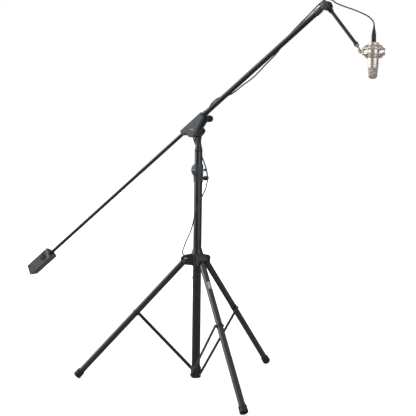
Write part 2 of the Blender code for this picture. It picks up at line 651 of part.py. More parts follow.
def make_shock_mount(axis, m):
    """Two outer rings joined by posts, an inner clamp with rims, and an elastic laced between."""
    outer = add_object("shock_outer", ring(CAGE_R, CAGE_WIRE, CAGE_TOP), m["mic_nickel"], axis)
    add(outer, ring(CAGE_R, CAGE_WIRE, CAGE_LOW))
    posts = []
    for i in range(4):
        post = bar(0.0022, CAGE_LOW, CAGE_TOP, 8)
        bmesh.ops.translate(post, verts=post.verts, vec=(CAGE_R, 0, 0))
        posts.append(turned_about_z(post, math.radians(45 + 90 * i)))
    strap = block((-CAGE_R - 0.0020, -0.0050, CAGE_LOW), (-CAGE_R + 0.0015, 0.0050, CAGE_TOP))
    add(outer, together(*posts, strap))
    knuckle_x, knuckle_z = KNUCKLE.x - MIC_X, KNUCKLE.z
    outline = (arc((knuckle_x, knuckle_z), 0.0060, 90, 270, 8)
               + [(-CAGE_R - 0.0010, knuckle_z - 0.0060), (-CAGE_R - 0.0010, knuckle_z + 0.0060)])
    add(outer, plate(outline, -0.0030, 0.0030))
    cut(outer, facing(bar(0.0028, -0.02, 0.02), (0, 1, 0), (knuckle_x, 0, knuckle_z)))
    inner_r, rim = MIC_R + GAP, CLAMP_RIM_R
    middle = (CAGE_TOP + CAGE_LOW) / 2
    low, high = middle - 0.026, middle + 0.026
    profile = [(inner_r, low), (rim, low), (rim, low + 0.003), (0.0232, low + 0.004),
               (0.0232, high - 0.004), (rim, high - 0.003), (rim, high), (inner_r, high)]
    add_object("shock_inner", turned(profile), m["mic_nickel"], axis)
    make_elastic(axis, middle, m)


def make_elastic(axis, middle, m):
    """One closed cord that zigzags between the outer rings and the inner clamp."""
    thickness = 0.0013
    far = CAGE_R - CAGE_WIRE - thickness - GAP
    near = CLAMP_RIM_R + thickness + 2 * GAP
    points = []
    steps = 32
    for i in range(steps):
        angle = 2 * math.pi * i / steps
        swing = math.cos(8 * angle)
        radius = (far + near) / 2 + (far - near) / 2 * swing
        lift = 0.024 * math.sin(4 * angle + math.pi / 4)
        points.append((radius * math.cos(angle), radius * math.sin(angle), middle + lift))
    add_tube("shock_elastic", points, thickness, m["elastic"], axis, closed=True)


# ---------------------------------------------------------------- cable

def add_tube(name, points, radius, mat, parent=None, closed=False):
    curve = bpy.data.curves.new(name, "CURVE")
    curve.dimensions = "3D"
    curve.bevel_depth = radius
    curve.bevel_resolution = 2
    curve.use_fill_caps = not closed
    spline = curve.splines.new("POLY")
    spline.points.add(len(points) - 1)
    for point, co in zip(spline.points, points):
        point.co = (*co, 1)
    spline.use_cyclic_u = closed
    curve.materials.append(mat)
    obj = bpy.data.objects.new(name, curve)
    obj.parent = parent
    bpy.context.collection.objects.link(obj)
    return obj


def smooth_route(points, step=CABLE_STEP):
    """Points at even steps along a smooth curve through the route's own points."""
    route = [Vector(p) for p in points]
    route = [2 * route[0] - route[1], *route, 2 * route[-1] - route[-2]]
    fine = []
    for i in range(1, len(route) - 2):
        a, b, c, d = route[i - 1:i + 3]
        for k in range(16):
            t = k / 16
            fine.append(0.5 * (2 * b + (c - a) * t + (2 * a - 5 * b + 4 * c - d) * t * t
                               + (3 * b - a - 3 * c + d) * t ** 3))
    fine.append(route[-2])
    lengths = [0.0]
    for p, q in zip(fine, fine[1:]):
        lengths.append(lengths[-1] + (q - p).length)
    count = max(2, round(lengths[-1] / step))
    out, j = [], 0
    for k in range(count + 1):
        want = lengths[-1] * k / count
        while j < len(fine) - 2 and lengths[j + 1] < want:
            j += 1
        span = lengths[j + 1] - lengths[j]
        out.append(fine[j].lerp(fine[j + 1], (want - lengths[j]) / span))
    return out


def on_boom(along, side, lift):
    """A point by its distance along the boom, and its offsets from the boom's own axis."""
    direction = Vector((math.cos(BOOM_TILT), 0, math.sin(BOOM_TILT)))
    square = Vector((-math.sin(BOOM_TILT), 0, math.cos(BOOM_TILT)))
    point = PIVOT + direction * along + square * (BOOM_LIFT + lift)
    point.y = BOOM_Y + side
    return point


def tip_route():
    """From the microphone's connector in a free arch to the boom's tip and over it."""
    return [(MIC_X, MINI_Y, PLUG_TOP + 0.0015), (MIC_X - 0.001, MINI_Y, 1.562), (0.868, MINI_Y, 1.576),
            (0.846, MINI_Y, 1.593), (0.797, MINI_Y, 1.615), (0.741, MINI_Y, 1.635), (0.704, MINI_Y, 1.650),
            (0.6870, MINI_Y, 1.6620), (0.6680, MINI_Y, 1.6675), (0.6500, -0.026, 1.6640),
            (0.6360, -0.032, 1.6530), on_boom(0.795, 0.004, 0.0215)]


def boom_route():
    """Along the boom: above the tube, behind it to its underside, and behind it again to the head."""
    return [on_boom(0.795 - CABLE_GAP, 0.004, 0.0215), on_boom(0.768, 0.003, 0.0190),
            on_boom(0.706, 0.002, 0.0150), on_boom(0.644, 0.008, 0.0128), on_boom(0.597, 0.0145, 0.0040),
            on_boom(0.560, 0.0147, -0.0040), on_boom(0.523, 0.0120, -0.0105),
            on_boom(0.477, 0.0050, -0.0165), on_boom(0.438, 0.0, -0.0225), on_boom(0.390, 0.0, -0.0245),
            on_boom(0.328, 0.0, -0.0190), on_boom(0.285, 0.0070, -0.0145), on_boom(0.250, 0.0150, -0.0060),
            on_boom(0.222, 0.0160, 0.0020), on_boom(0.190, 0.0110, 0.0120)]


def mast_route():
    """Over the clutch, down behind the neck, round the mast's front and in behind the hub."""
    return [on_boom(0.190 - CABLE_GAP, 0.0110, 0.0120), on_boom(0.155, 0.0140, 0.0155),
            on_boom(0.120, 0.0200, 0.0150), (0.060, -0.0150, 1.2020), (0.030, -0.0080, 1.1700),
            (0.004, -0.0060, 1.1560), (-0.021, -0.0050, 1.1470),
            (-0.034, -0.0030, 1.1260), (-0.033, 0.0010, 1.1020), (-0.0285, 0.0080, 1.0720),
            (-0.0180, 0.0220, 1.0360), (-0.0020, 0.0290, 1.0050), (0.0150, 0.0240, 0.9780),
            (0.0340, 0.0120, 0.9560), (0.0470, 0.0030, 0.9330), (0.0520, 0.0, 0.9100),
            (0.0540, -0.0080, 0.8850), (0.0540, -0.0200, 0.8600), (0.0480, -0.0350, 0.8300),
            (0.0340, -0.0450, 0.7900),
            (0.0160, -0.0450, 0.7400), (-0.0040, -0.0420, 0.6800), (-0.0300, -0.0360, 0.6380),
            (-0.0560, -0.0240, 0.6000), (-0.0760, -0.0110, 0.5680), (-0.0740, 0.0120, 0.5470),
            (-0.0600, 0.0300, 0.5400), (-0.0430, 0.0400, 0.5280), hank_point(0, HANK_TOP + 0.010),
            hank_point(0, HANK_TOP + 0.0012)]


def hank_point(side, z):
    """A point on the hank's middle plane, by its sideways offset and height."""
    out = Vector((math.cos(HANK_AZIMUTH), math.sin(HANK_AZIMUTH), 0))
    across = Vector((-out.y, out.x, 0))
    point = out * HANK_RADIUS + across * side
    point.z = z
    return point


def make_cable(m):
    """The cable in three tubes, its spare length in a hank behind the mast, and its plug."""
    routes = {"cable_tip": tip_route(), "cable_boom": boom_route(), "cable_mast": mast_route()}
    for name, route in routes.items():
        add_tube(name, smooth_route(route), CABLE_R, m["cable_jacket"])
    end_r = HANK_WIDTH / 2
    centers = (HANK_TOP - end_r, HANK_TOP - HANK_LENGTH + end_r)
    outline = arc((0, centers[0]), end_r, 0, 180, 8) + arc((0, centers[1]), end_r, 180, 360, 8)
    hank = add_object("cable_hank", plate(outline, -HANK_DEPTH / 2, HANK_DEPTH / 2), m["cable_jacket"])
    hank.location = hank_point(0, 0)
    hank.rotation_euler = (0, 0, HANK_AZIMUTH - math.pi / 2)
    top = -GAP
    plug = [(0, top), (0.0040, top), (0.0075, -0.012), (0.0092, -0.016), (0.0092, -0.046), (0.0096, -0.047),
            (0.0096, -0.066), (0, -0.066)]
    plug_object = add_object("cable_plug", turned(plug[::-1], KNOB_SIDES), m["connector"])
    plug_object.location = hank_point(0, HANK_TOP - HANK_LENGTH)


def main():
    clear_scene()
    m = make_materials()
    make_base(m)
    make_hub(m)
    for key, azimuth in LEG_AZIMUTHS.items():
        make_leg(key, azimuth, m)
        make_brace(key, azimuth, m)
    make_mast(m)
    make_head(m)
    tilt = empty("boom_tilt_axis", PIVOT, (0, -BOOM_TILT, 0))
    make_cradle(tilt, m)
    make_boom(tilt, m)
    make_mini_boom(m)
    make_microphone(m)
    make_cable(m)


main()
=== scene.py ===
"""Looks of the boom microphone stand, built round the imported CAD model, in metres and in its frame."""

import math

import bmesh
import bpy
from mathutils import Matrix, Vector

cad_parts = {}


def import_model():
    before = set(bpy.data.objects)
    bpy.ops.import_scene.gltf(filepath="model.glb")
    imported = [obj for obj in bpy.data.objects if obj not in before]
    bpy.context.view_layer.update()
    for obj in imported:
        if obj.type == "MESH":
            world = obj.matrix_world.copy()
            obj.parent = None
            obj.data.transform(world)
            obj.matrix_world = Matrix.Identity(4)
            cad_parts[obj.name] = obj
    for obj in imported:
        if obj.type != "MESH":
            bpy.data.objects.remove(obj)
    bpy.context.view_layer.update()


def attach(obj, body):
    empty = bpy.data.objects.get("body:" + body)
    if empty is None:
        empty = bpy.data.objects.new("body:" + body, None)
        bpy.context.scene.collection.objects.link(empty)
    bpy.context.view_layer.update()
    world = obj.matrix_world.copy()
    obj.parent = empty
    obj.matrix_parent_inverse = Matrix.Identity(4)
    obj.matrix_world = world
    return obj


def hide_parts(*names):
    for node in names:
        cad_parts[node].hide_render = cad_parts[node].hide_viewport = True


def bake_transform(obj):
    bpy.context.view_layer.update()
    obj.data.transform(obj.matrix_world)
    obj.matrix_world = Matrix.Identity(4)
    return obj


# ---------------------------------------------------------------- sizes, as the CAD source has them

GAP = 0.0003
FLOOR_Z = -0.03
LEG_AZIMUTHS = {"a": math.radians(208), "b": math.radians(328), "c": math.radians(88)}
HUB_PIN_RADIUS = 0.058
HUB_PIN_Z = 0.535
HUB_KNOB_AZIMUTH = math.radians(127)
HUB_KNOB_Z = 0.576
LEG_RUN = 0.5593 - HUB_PIN_RADIUS
LEG_DROP = HUB_PIN_Z - FLOOR_Z - 0.0102
LEG_LENGTH = math.hypot(LEG_RUN, LEG_DROP)
LEG_TILT = math.atan2(LEG_RUN, LEG_DROP)
LEG_R = 0.014
BRACE_PIN_Z = 0.014
RIVET_DISTANCE = 0.332
RIVET_RADIUS = HUB_PIN_RADIUS + RIVET_DISTANCE * math.sin(LEG_TILT)
RIVET_RISE = HUB_PIN_Z - RIVET_DISTANCE * math.cos(LEG_TILT) - BRACE_PIN_Z
BRACE_LENGTH = math.hypot(RIVET_RADIUS, RIVET_RISE)
BRACE_TILT = math.atan2(RIVET_RADIUS, RIVET_RISE)
BRACE_INNER = 0.0198
BRACE_OUTER = 0.0228
BRACE_HALF_WIDTH = 0.0075
OUTER_R = 0.019
INNER_R = 0.0175
BASE_TOP = 0.052
OUTER_TOP = 0.925
COLLAR_LOW = 0.893
COLLAR_TOP = 0.974
COLLAR_FACE_Z = 0.948
COLLAR_KNOB_Z = 0.908
COLLAR_PIN_Z = 0.946
PIVOT = Vector((0.0, 0.0, 1.122))
BOOM_TILT = math.radians(36.44)
BOOM_Y = -0.044
BOOM_LIFT = 0.0225
CLUTCH_R = 0.028
SEAM_Y = -0.026
CRADLE_START = -0.05
CRADLE_END = 0.095
CRADLE_HALF = 0.0138
CLAMP_EAR_R = 0.0105
CLAMP_ALONG = CRADLE_END - CLAMP_EAR_R
CLAMP_LIFT = 0.0065
TUBE_R = 0.011
TUBE_START = -0.045
TUBE_END = 0.817
ROD_R = 0.008
ROD_START = -1.24
ROD_END = 0.12
WEIGHT_START = -1.245
WEIGHT_END = -1.074
WEIGHT_SECTION = [(0.026, -0.023), (0.014, 0.03), (-0.002, 0.025), (-0.023, 0.006), (-0.027, -0.023)]
WEIGHT_SCREW = WEIGHT_END - 0.042
WEIGHT_SCREW_LIFT = 0.003
TIP = 0.842
TIP_R = 0.019
MINI_TILT = math.radians(-49.2)
MINI_Y = -0.023
MINI_R = 0.007
MINI_LENGTH = 0.206
KNUCKLE = Vector((0.822, MINI_Y, 1.4515))
MIC_X = 0.878
MIC_TOP = 1.4887
MIC_JOIN = 1.3904
MIC_LOW = 1.3431
MIC_R = 0.021
PLUG_TOP = 1.5513
CAGE_R = 0.0455
CAGE_TOP = 1.4615
CAGE_LOW = 1.4415
CAGE_MIDDLE = (CAGE_TOP + CAGE_LOW) / 2
CABLE_R = 0.00275
CABLE_STEP = 0.0035  # between the points of the cable's line
HANK_AZIMUTH = math.radians(133)
HANK_RADIUS = 0.046
HANK_TOP = 0.498
HANK_LENGTH = 0.1
HANK_WIDTH = 0.0275

SIDES = 96
IDENTITY = Matrix.Identity(4)
Y_UP = Matrix.Rotation(-math.pi / 2, 4, "X")  # stands a piece turned about Z on +Y
Y_DOWN = Matrix.Rotation(math.pi / 2, 4, "X")
X_UP = Matrix.Rotation(math.pi / 2, 4, "Y")


def move(x, y, z):
    return Matrix.Translation((x, y, z))


def turn_z(angle):
    return Matrix.Rotation(angle, 4, "Z")


def turn_y(angle):
    return Matrix.Rotation(angle, 4, "Y")


AT_PIVOT = Matrix.Translation(PIVOT)
BOOM_FRAME = AT_PIVOT @ turn_y(-BOOM_TILT)
BOOM_LINE = BOOM_FRAME @ move(0, BOOM_Y, BOOM_LIFT)  # its +X is the boom's own axis
MIC_FRAME = move(MIC_X, MINI_Y, 0)


def on_boom(along, side, lift):
    """A point by its distance along the boom, and its offsets from the boom's own axis."""
    return BOOM_LINE @ Vector((along, side, lift))


def polar(radius, angle, z):
    """A point by its distance from the Z axis, its angle round it and its height."""
    return (radius * math.cos(angle), radius * math.sin(angle), z)


def tip_point(y):
    """The tip swivel's axis where it crosses a plane of constant y."""
    point = on_boom(TIP, 0, 0)
    point.y = y
    return point


MINI_FRAME = Matrix.Translation(tip_point(0)) @ turn_y(-MINI_TILT)


def hank_point(side, z, out=0.0):
    """A point by its sideways offset from the hank's middle, its height and its offset outwards."""
    outward = Vector(polar(1, HANK_AZIMUTH, 0))
    across = Vector((-outward.y, outward.x, 0))
    point = outward * (HANK_RADIUS + out) + across * side
    point.z = z
    return point


# ---------------------------------------------------------------- mesh helpers

def box(left, right, low, high):
    """A rectangle's corners; as a lathe's profile, a plain disc or pipe."""
    return [(left, low), (right, low), (right, high), (left, high)]


def arc(center, radius, start, end, steps):
    """Points of an arc from start to end, both in degrees."""
    angles = [math.radians(start + (end - start) * i / steps) for i in range(steps + 1)]
    return [(center[0] + radius * math.cos(a), center[1] + radius * math.sin(a)) for a in angles]


def soften(points, radius, steps=3, closed=False):
    """Rounds each corner of a 2-D outline."""
    points = [Vector(p) for p in points]
    count = len(points)
    out = []
    for i, corner in enumerate(points):
        if not closed and i in (0, count - 1):
            out.append(tuple(corner))
            continue
        back = points[i - 1] - corner
        ahead = points[(i + 1) % count] - corner
        reach = min(radius, 0.45 * back.length, 0.45 * ahead.length)
        first = corner + back.normalized() * reach
        last = corner + ahead.normalized() * reach
        for k in range(steps + 1):
            t = k / steps
            out.append(tuple((1 - t) ** 2 * first + 2 * t * (1 - t) * corner + t * t * last))
    return out


def lathe(profile, sides=SIDES, shape=None, edge=0.0006):
    """A closed solid turned about Z. shape(radius, z, angle) may change each point's radius."""
    closed = profile[0][0] > 1e-9
    points = soften(profile, edge, closed=closed) if edge else profile
    bm = bmesh.new()
    rings = []
    for radius, z in points:
        if radius < 1e-9:
            rings.append([bm.verts.new((0, 0, z))])
            continue
        ring = []
        for i in range(sides):
            angle = 2 * math.pi * i / sides
            r = shape(radius, z, angle) if shape else radius
            ring.append(bm.verts.new(polar(r, angle, z)))
        rings.append(ring)
    pairs = list(zip(rings, rings[1:]))
    if closed:
        pairs.append((rings[-1], rings[0]))
    for low, high in pairs:
        for i in range(sides):
            j = (i + 1) % sides
            corners = (low[i % len(low)], low[j % len(low)], high[j % len(high)], high[i % len(high)])
            unique = list(dict.fromkeys(corners))
            if len(unique) > 2:
                bm.faces.new(unique)
    return bm


def plate(outline, low, high, edge=0.0006, steps=2):
    """An outline of (x, z) points extruded along Y, with rounded rims."""
    bm = bmesh.new()
    face = bm.faces.new([bm.verts.new((x, low, z)) for x, z in outline])
    grown = bmesh.ops.extrude_face_region(bm, geom=[face])
    moved = [v for v in grown["geom"] if isinstance(v, bmesh.types.BMVert)]
    bmesh.ops.translate(bm, verts=moved, vec=(0, high - low, 0))
    bmesh.ops.recalc_face_normals(bm, faces=bm.faces)
    if edge:
        rims = [e for e in bm.edges if abs(e.verts[0].co.y - e.verts[1].co.y) < 1e-7]
        bmesh.ops.bevel(bm, geom=rims, offset=edge, segments=steps, profile=0.5, affect="EDGES")
    return bm


def skin(bm, rings, closed=False):
    """Side faces from ring to ring, and from the last back to the first when closed."""
    pairs = list(zip(rings, rings[1:]))
    if closed:
        pairs.append((rings[-1], rings[0]))
    for low, high in pairs:
        for i in range(len(low)):
            j = (i + 1) % len(low)
            bm.faces.new((low[i], low[j], high[j], high[i]))


def cap(bm, rings):
    """Flat faces over the first ring and the last."""
    bm.faces.new(rings[0])
    bm.faces.new(rings[-1][::-1])


def stacked(layers):
    """A closed solid skinned over rings of points, with flat ends."""
    bm = bmesh.new()
    rows = [[bm.verts.new(point) for point in layer] for layer in layers]
    skin(bm, rows)
    cap(bm, rows)
    return bm


def frames_along(points, closed=False):
    """A steady pair of cross directions at each point of a path."""
    count = len(points)
    tangents = []
    for i in range(count):
        if closed:
            step = points[(i + 1) % count] - points[i - 1]
        else:
            step = points[min(i + 1, count - 1)] - points[max(i - 1, 0)]
        tangents.append(step.normalized())
    side = tangents[0].orthogonal().normalized()
    out = []
    for tangent in tangents:
        side = (side - tangent * side.dot(tangent)).normalized()
        out.append((side, tangent.cross(side)))
    if closed:
        first, last = out[0], out[-1]
        twist = math.atan2(last[0].dot(first[1]), last[0].dot(first[0]))
        fixed = []
        for i, (a, b) in enumerate(out):
            angle = -twist * i / count
            cosine, sine = math.cos(angle), math.sin(angle)
            fixed.append((a * cosine + b * sine, b * cosine - a * sine))
        return fixed
    return out


def sweep(points, radius, sides=16, closed=False):
    """A round tube along a path. radius is one number, or one for each point."""
    points = [Vector(p) for p in points]
    radii = radius if hasattr(radius, "__len__") else [radius] * len(points)
    bm = bmesh.new()
    rings = []
    for point, (a, b), r in zip(points, frames_along(points, closed), radii):
        ring = []
        for i in range(sides):
            angle = 2 * math.pi * i / sides
            ring.append(bm.verts.new(point + a * (r * math.cos(angle)) + b * (r * math.sin(angle))))
        rings.append(ring)
    if not closed:
        cap(bm, rings)
    skin(bm, rings, closed)
    return bm


def band(points, axis, width, thickness, closed=True):
    """A flat strap along a path: its width runs along axis, its thickness across the path."""
    points = [Vector(p) for p in points]
    axis = Vector(axis).normalized()
    count = len(points)
    section = soften(box(-width / 2, width / 2, -thickness / 2, thickness / 2), thickness * 0.4, 2, True)
    bm = bmesh.new()
    rings = []
    for i, point in enumerate(points):
        before = points[i - 1] if closed or i else points[0]
        after = points[(i + 1) % count] if closed or i < count - 1 else points[-1]
        out = (after - before).normalized().cross(axis)
        rings.append([bm.verts.new(point + axis * u + out * v) for u, v in section])
    if not closed:
        cap(bm, rings)
    skin(bm, rings, closed)
    return bm


def placed(bm, matrix):
    """The same bmesh, moved by a matrix."""
    bmesh.ops.transform(bm, matrix=matrix, verts=bm.verts)
    return bm


def together(*parts):
    """One bmesh from several, which are freed."""
    whole = bmesh.new()
    for part in parts:
        mesh = to_mesh("part", part)
        whole.from_mesh(mesh)
        bpy.data.meshes.remove(mesh)
    return whole


CREASE_ANGLE = math.radians(38)
LARGE_FACE = 12  # a face with more corners than this is creased all round


def crease(mesh):
    """Smooth shading with creases at sharp turns and all round each large flat face."""
    mesh.shade_smooth()
    mesh.set_sharp_from_angle(angle=CREASE_ANGLE)
    edges = {edge.key: edge for edge in mesh.edges}
    for face in mesh.polygons:
        if len(face.vertices) > LARGE_FACE:
            for key in face.edge_keys:
                edges[key].use_edge_sharp = True


def link_object(name, data):
    """A new object in the scene."""
    obj = bpy.data.objects.new(name, data)
    bpy.context.scene.collection.objects.link(obj)
    return obj


def to_mesh(name, bm):
    """A mesh from a finished bmesh, which is freed."""
    mesh = bpy.data.meshes.new(name)
    bm.to_mesh(mesh)
    bm.free()
    return mesh


def piece(name, bm, material, body, replaces=(), place=IDENTITY):
    """A finished piece: shaded, painted, set in place and riding on its CAD body."""
    bmesh.ops.recalc_face_normals(bm, faces=bm.faces)
    mesh = to_mesh(name, bm)
    crease(mesh)
    mesh.materials.append(material)
    obj = link_object(name, mesh)
    obj.matrix_world = place
    if body:
        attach(obj, body)
    if replaces:
        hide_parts(*replaces)
    return obj


def carve(obj, bm):
    """Cuts a mesh, given in the object's own frame, out of an object."""
    bmesh.ops.recalc_face_normals(bm, faces=bm.faces)
    tool = link_object("tool", to_mesh("tool", bm))
    tool.matrix_world = obj.matrix_world
    modifier = obj.modifiers.new("Carve", "BOOLEAN")
    modifier.operation = "DIFFERENCE"
    modifier.solver = "EXACT"
    modifier.use_self = True
    modifier.object = tool
    bpy.context.view_layer.update()
    evaluated = obj.evaluated_get(bpy.context.evaluated_depsgraph_get())
    carved = bpy.data.meshes.new_from_object(evaluated)
    obj.modifiers.clear()
    obj.data = carved
    crease(carved)
    bpy.data.objects.remove(tool)


# ---------------------------------------------------------------- materials

class Tree:
    """Short calls for building a node tree."""

    def __init__(self, tree):
        self.tree = tree

    def node(self, kind, inputs=None, **values):
        """A new node, with its own settings by name and constants for its sockets."""
        node = self.tree.nodes.new(kind)
        for key, value in values.items():
            setattr(node, key, value)
        for key, value in (inputs or {}).items():
            node.inputs[key].default_value = value
        return node

    def link(self, output, target):
        self.tree.links.new(output, target)

    def choose(self, factor, first, second):
        """The first shader where the factor is 0, the second where it is 1."""
        mix = self.node("ShaderNodeMixShader")
        self.link(factor, mix.inputs["Fac"])
        self.link(first, mix.inputs[1])
        self.link(second, mix.inputs[2])
        return mix.outputs["Shader"]


class Nodes(Tree):
    """One material's node tree, built round its own shader."""

    def __init__(self, name):
        self.material = bpy.data.materials.new(name)
        self.material.use_nodes = True
        super().__init__(self.material.node_tree)
        self.shader = self.tree.nodes["Principled BSDF"]
        self.coordinates = self.node("ShaderNodeTexCoord").outputs["Object"]

    def set(self, **values):
        """Constants on the shader's own sockets, named with _ for each space."""
        for key, value in values.items():
            self.shader.inputs[key.replace("_", " ")].default_value = value

    def drive(self, socket, output):
        self.link(output, self.shader.inputs[socket])

    def noise(self, scale, detail=3.0, roughness=0.55, stretch=(1, 1, 1)):
        mapping = self.node("ShaderNodeMapping", {"Scale": stretch})
        self.link(self.coordinates, mapping.inputs["Vector"])
        node = self.node("ShaderNodeTexNoise", {"Scale": scale, "Detail": detail, "Roughness": roughness})
        self.link(mapping.outputs["Vector"], node.inputs["Vector"])
        return node.outputs["Fac"]

    def cells(self, scale):
        node = self.node("ShaderNodeTexVoronoi", {"Scale": scale})
        self.link(self.coordinates, node.inputs["Vector"])
        return node.outputs["Distance"]

    def ramp(self, value, low, high, low_color, high_color):
        node = self.node("ShaderNodeValToRGB")
        stops = ((low, low_color), (high, high_color))
        for element, (position, color) in zip(node.color_ramp.elements, stops):
            element.position = position
            element.color = (*color, 1)
        self.link(value, node.inputs["Fac"])
        return node.outputs["Color"]

    def range(self, value, low, high):
        """Spreads a noise's usual span, 0.3 to 0.7, over low to high."""
        limits = {"From Min": 0.3, "From Max": 0.7, "To Min": low, "To Max": high}
        node = self.node("ShaderNodeMapRange", limits)
        self.link(value, node.inputs["Value"])
        return node.outputs["Result"]

    def mix(self, factor, first, second):
        node = self.node("ShaderNodeMix", data_type="RGBA")
        self.link(factor, node.inputs["Factor"])
        for socket, value in ((node.inputs["A"], first), (node.inputs["B"], second)):
            if isinstance(value, tuple):
                socket.default_value = (*value, 1)
            else:
                self.link(value, socket)
        return node.outputs["Result"]

    def bump(self, height, strength, distance, normal=None):
        node = self.node("ShaderNodeBump", {"Strength": strength, "Distance": distance})
        self.link(height, node.inputs["Height"])
        if normal:
            self.link(normal, node.inputs["Normal"])
        return node.outputs["Normal"]

    def edges(self, low, high):
        """How much a point is an outer edge, from the mesh's own curvature."""
        pointiness = self.node("ShaderNodeNewGeometry").outputs["Pointiness"]
        return self.ramp(pointiness, low, high, (0, 0, 0), (1, 1, 1))


def scaled(color, factor):
    return tuple(min(1.0, c * factor) for c in color)


def paint(name, color, roughness, grain, bump, metallic=0.0, wear=0.25, mottle=0.14, coat=0.0):
    """Paint or moulded plastic: mottled colour, uneven gloss, a fine grain and paler edges."""
    n = Nodes(name)
    base = n.ramp(n.noise(38, 4), 0.3, 0.7, scaled(color, 1 - mottle), scaled(color, 1 + mottle))
    if wear:
        base = n.mix(n.range(n.edges(0.52, 0.62), 0, wear), base, scaled(color, 2.4))
    n.drive("Base Color", base)
    n.drive("Roughness", n.range(n.noise(120, 3), roughness * 0.88, roughness * 1.14))
    n.set(Metallic=metallic, Coat_Weight=coat)
    fine = n.bump(n.noise(grain, 3, 0.6), bump, 0.00025)
    n.drive("Normal", n.bump(n.noise(grain * 0.18, 2), bump * 0.35, 0.0004, fine))
    return n.material


def grained(name, color, roughness, grain, bump):
    """Moulded plastic with a spark-eroded leather grain."""
    n = Nodes(name)
    cell = n.cells(grain)
    by_cell = n.ramp(cell, 0.0, 0.6, scaled(color, 1.04), scaled(color, 0.94))
    n.drive("Base Color", n.mix(n.range(n.noise(30, 4), 0, 0.5), by_cell, scaled(color, 1.1)))
    n.drive("Roughness", n.range(n.noise(200, 3), roughness * 0.9, roughness * 1.12))
    fine = n.bump(cell, bump, 0.00035)
    n.drive("Normal", n.bump(n.noise(grain * 1.6, 2), bump * 0.4, 0.0002, fine))
    return n.material


def metal(name, color, roughness, stretch=(1, 1, 1), scratch=0.08, hollow_darkening=0.35, metallic=1.0):
    """Bare or plated metal with fine brushing and a duller tone in its hollows."""
    n = Nodes(name)
    clouds = n.ramp(n.noise(45, 4), 0.25, 0.75, scaled(color, 0.86), scaled(color, 1.05))
    # The base colour darkens towards 0.3 of itself in the mesh's hollows, found from its curvature.
    hollow = n.edges(0.4, 0.5)
    n.drive("Base Color", n.mix(n.range(hollow, hollow_darkening, 0), clouds, scaled(color, 0.3)))
    n.set(Metallic=metallic)
    n.drive("Roughness", n.range(n.noise(260, 3), roughness * 0.8, roughness * 1.25))
    n.drive("Normal", n.bump(n.noise(900, 2, 0.6, stretch), scratch, 0.0001))
    return n.material


def woven(name, color, scale, bump, roughness=0.8):
    """Braided cord or webbing: two crossing waves."""
    n = Nodes(name)
    both = n.node("ShaderNodeMath", operation="MULTIPLY")
    for i, direction in enumerate(("DIAGONAL", "Z")):
        wave = n.node("ShaderNodeTexWave", {"Scale": scale, "Distortion": 1.0}, bands_direction=direction)
        n.link(n.coordinates, wave.inputs["Vector"])
        n.link(wave.outputs["Fac"], both.inputs[i])
    n.drive("Base Color", n.ramp(both.outputs[0], 0.0, 0.8, scaled(color, 0.62), scaled(color, 1.15)))
    n.set(Roughness=roughness, Sheen_Weight=0.2)
    n.drive("Normal", n.bump(both.outputs[0], bump, 0.0003))
    return n.material


def paper(name):
    """A blank printed-stock sticker, a little yellowed and scuffed."""
    n = Nodes(name)
    n.drive("Base Color", n.ramp(n.noise(160, 4), 0.3, 0.7, (0.36, 0.355, 0.34), (0.5, 0.49, 0.47)))
    n.set(Roughness=0.55)
    n.drive("Normal", n.bump(n.noise(1500, 2), 0.1, 0.0001))
    return n.material


# Paints by key: name, colour, roughness, grain, bump and what differs from paint's own defaults.
PAINTS = {
    "mast": ("mast_powder_coat", (0.018, 0.019, 0.021), 0.3, 1900, 0.1,
             dict(wear=0.2, mottle=0.08, coat=0.2)),
    "leg": ("leg_powder_coat", (0.03, 0.029, 0.028), 0.34, 1900, 0.12,
            dict(wear=0.2, mottle=0.08, coat=0.12)),
    "brace": ("brace_powder_coat", (0.02, 0.021, 0.023), 0.36, 1900, 0.12, dict(mottle=0.08)),
    "casting": ("painted_casting", (0.021, 0.022, 0.025), 0.38, 900, 0.2, dict(wear=0.3, mottle=0.12)),
    "neck": ("neck_casting", (0.016, 0.017, 0.019), 0.36, 900, 0.18, dict(wear=0.2, mottle=0.12)),
    "knob": ("knob_plastic", (0.009, 0.009, 0.01), 0.34, 1500, 0.12, dict(wear=0.12, mottle=0.08)),
    "rubber": ("foot_rubber", (0.012, 0.012, 0.012), 0.62, 1300, 0.3, dict(wear=0.2, mottle=0.2)),
    "boom": ("boom_powder_coat", (0.013, 0.014, 0.016), 0.4, 2000, 0.1, dict(wear=0.15, mottle=0.08)),
    "weight": ("weight_enamel", (0.082, 0.083, 0.087), 0.46, 700, 0.07, dict(mottle=0.06)),
    "screw": ("thumb_screw_enamel", (0.075, 0.076, 0.08), 0.42, 900, 0.14, dict(wear=0.3, mottle=0.08)),
    "mesh_back": ("mesh_backing", (0.36, 0.32, 0.28), 0.7, 1200, 0.3, dict(wear=0.0)),
    "connector": ("connector_shell", (0.014, 0.015, 0.017), 0.32, 1600, 0.1, dict(metallic=0.3)),
    "boot": ("cable_boot", (0.022, 0.023, 0.025), 0.55, 1300, 0.2, dict(wear=0.2)),
    "cable": ("cable_jacket", (0.018, 0.019, 0.021), 0.46, 1300, 0.14, dict(wear=0.0, mottle=0.08)),
    "badge": ("badge_print", (0.52, 0.53, 0.55), 0.4, 1500, 0.06, dict(wear=0.1, mottle=0.1)),
}


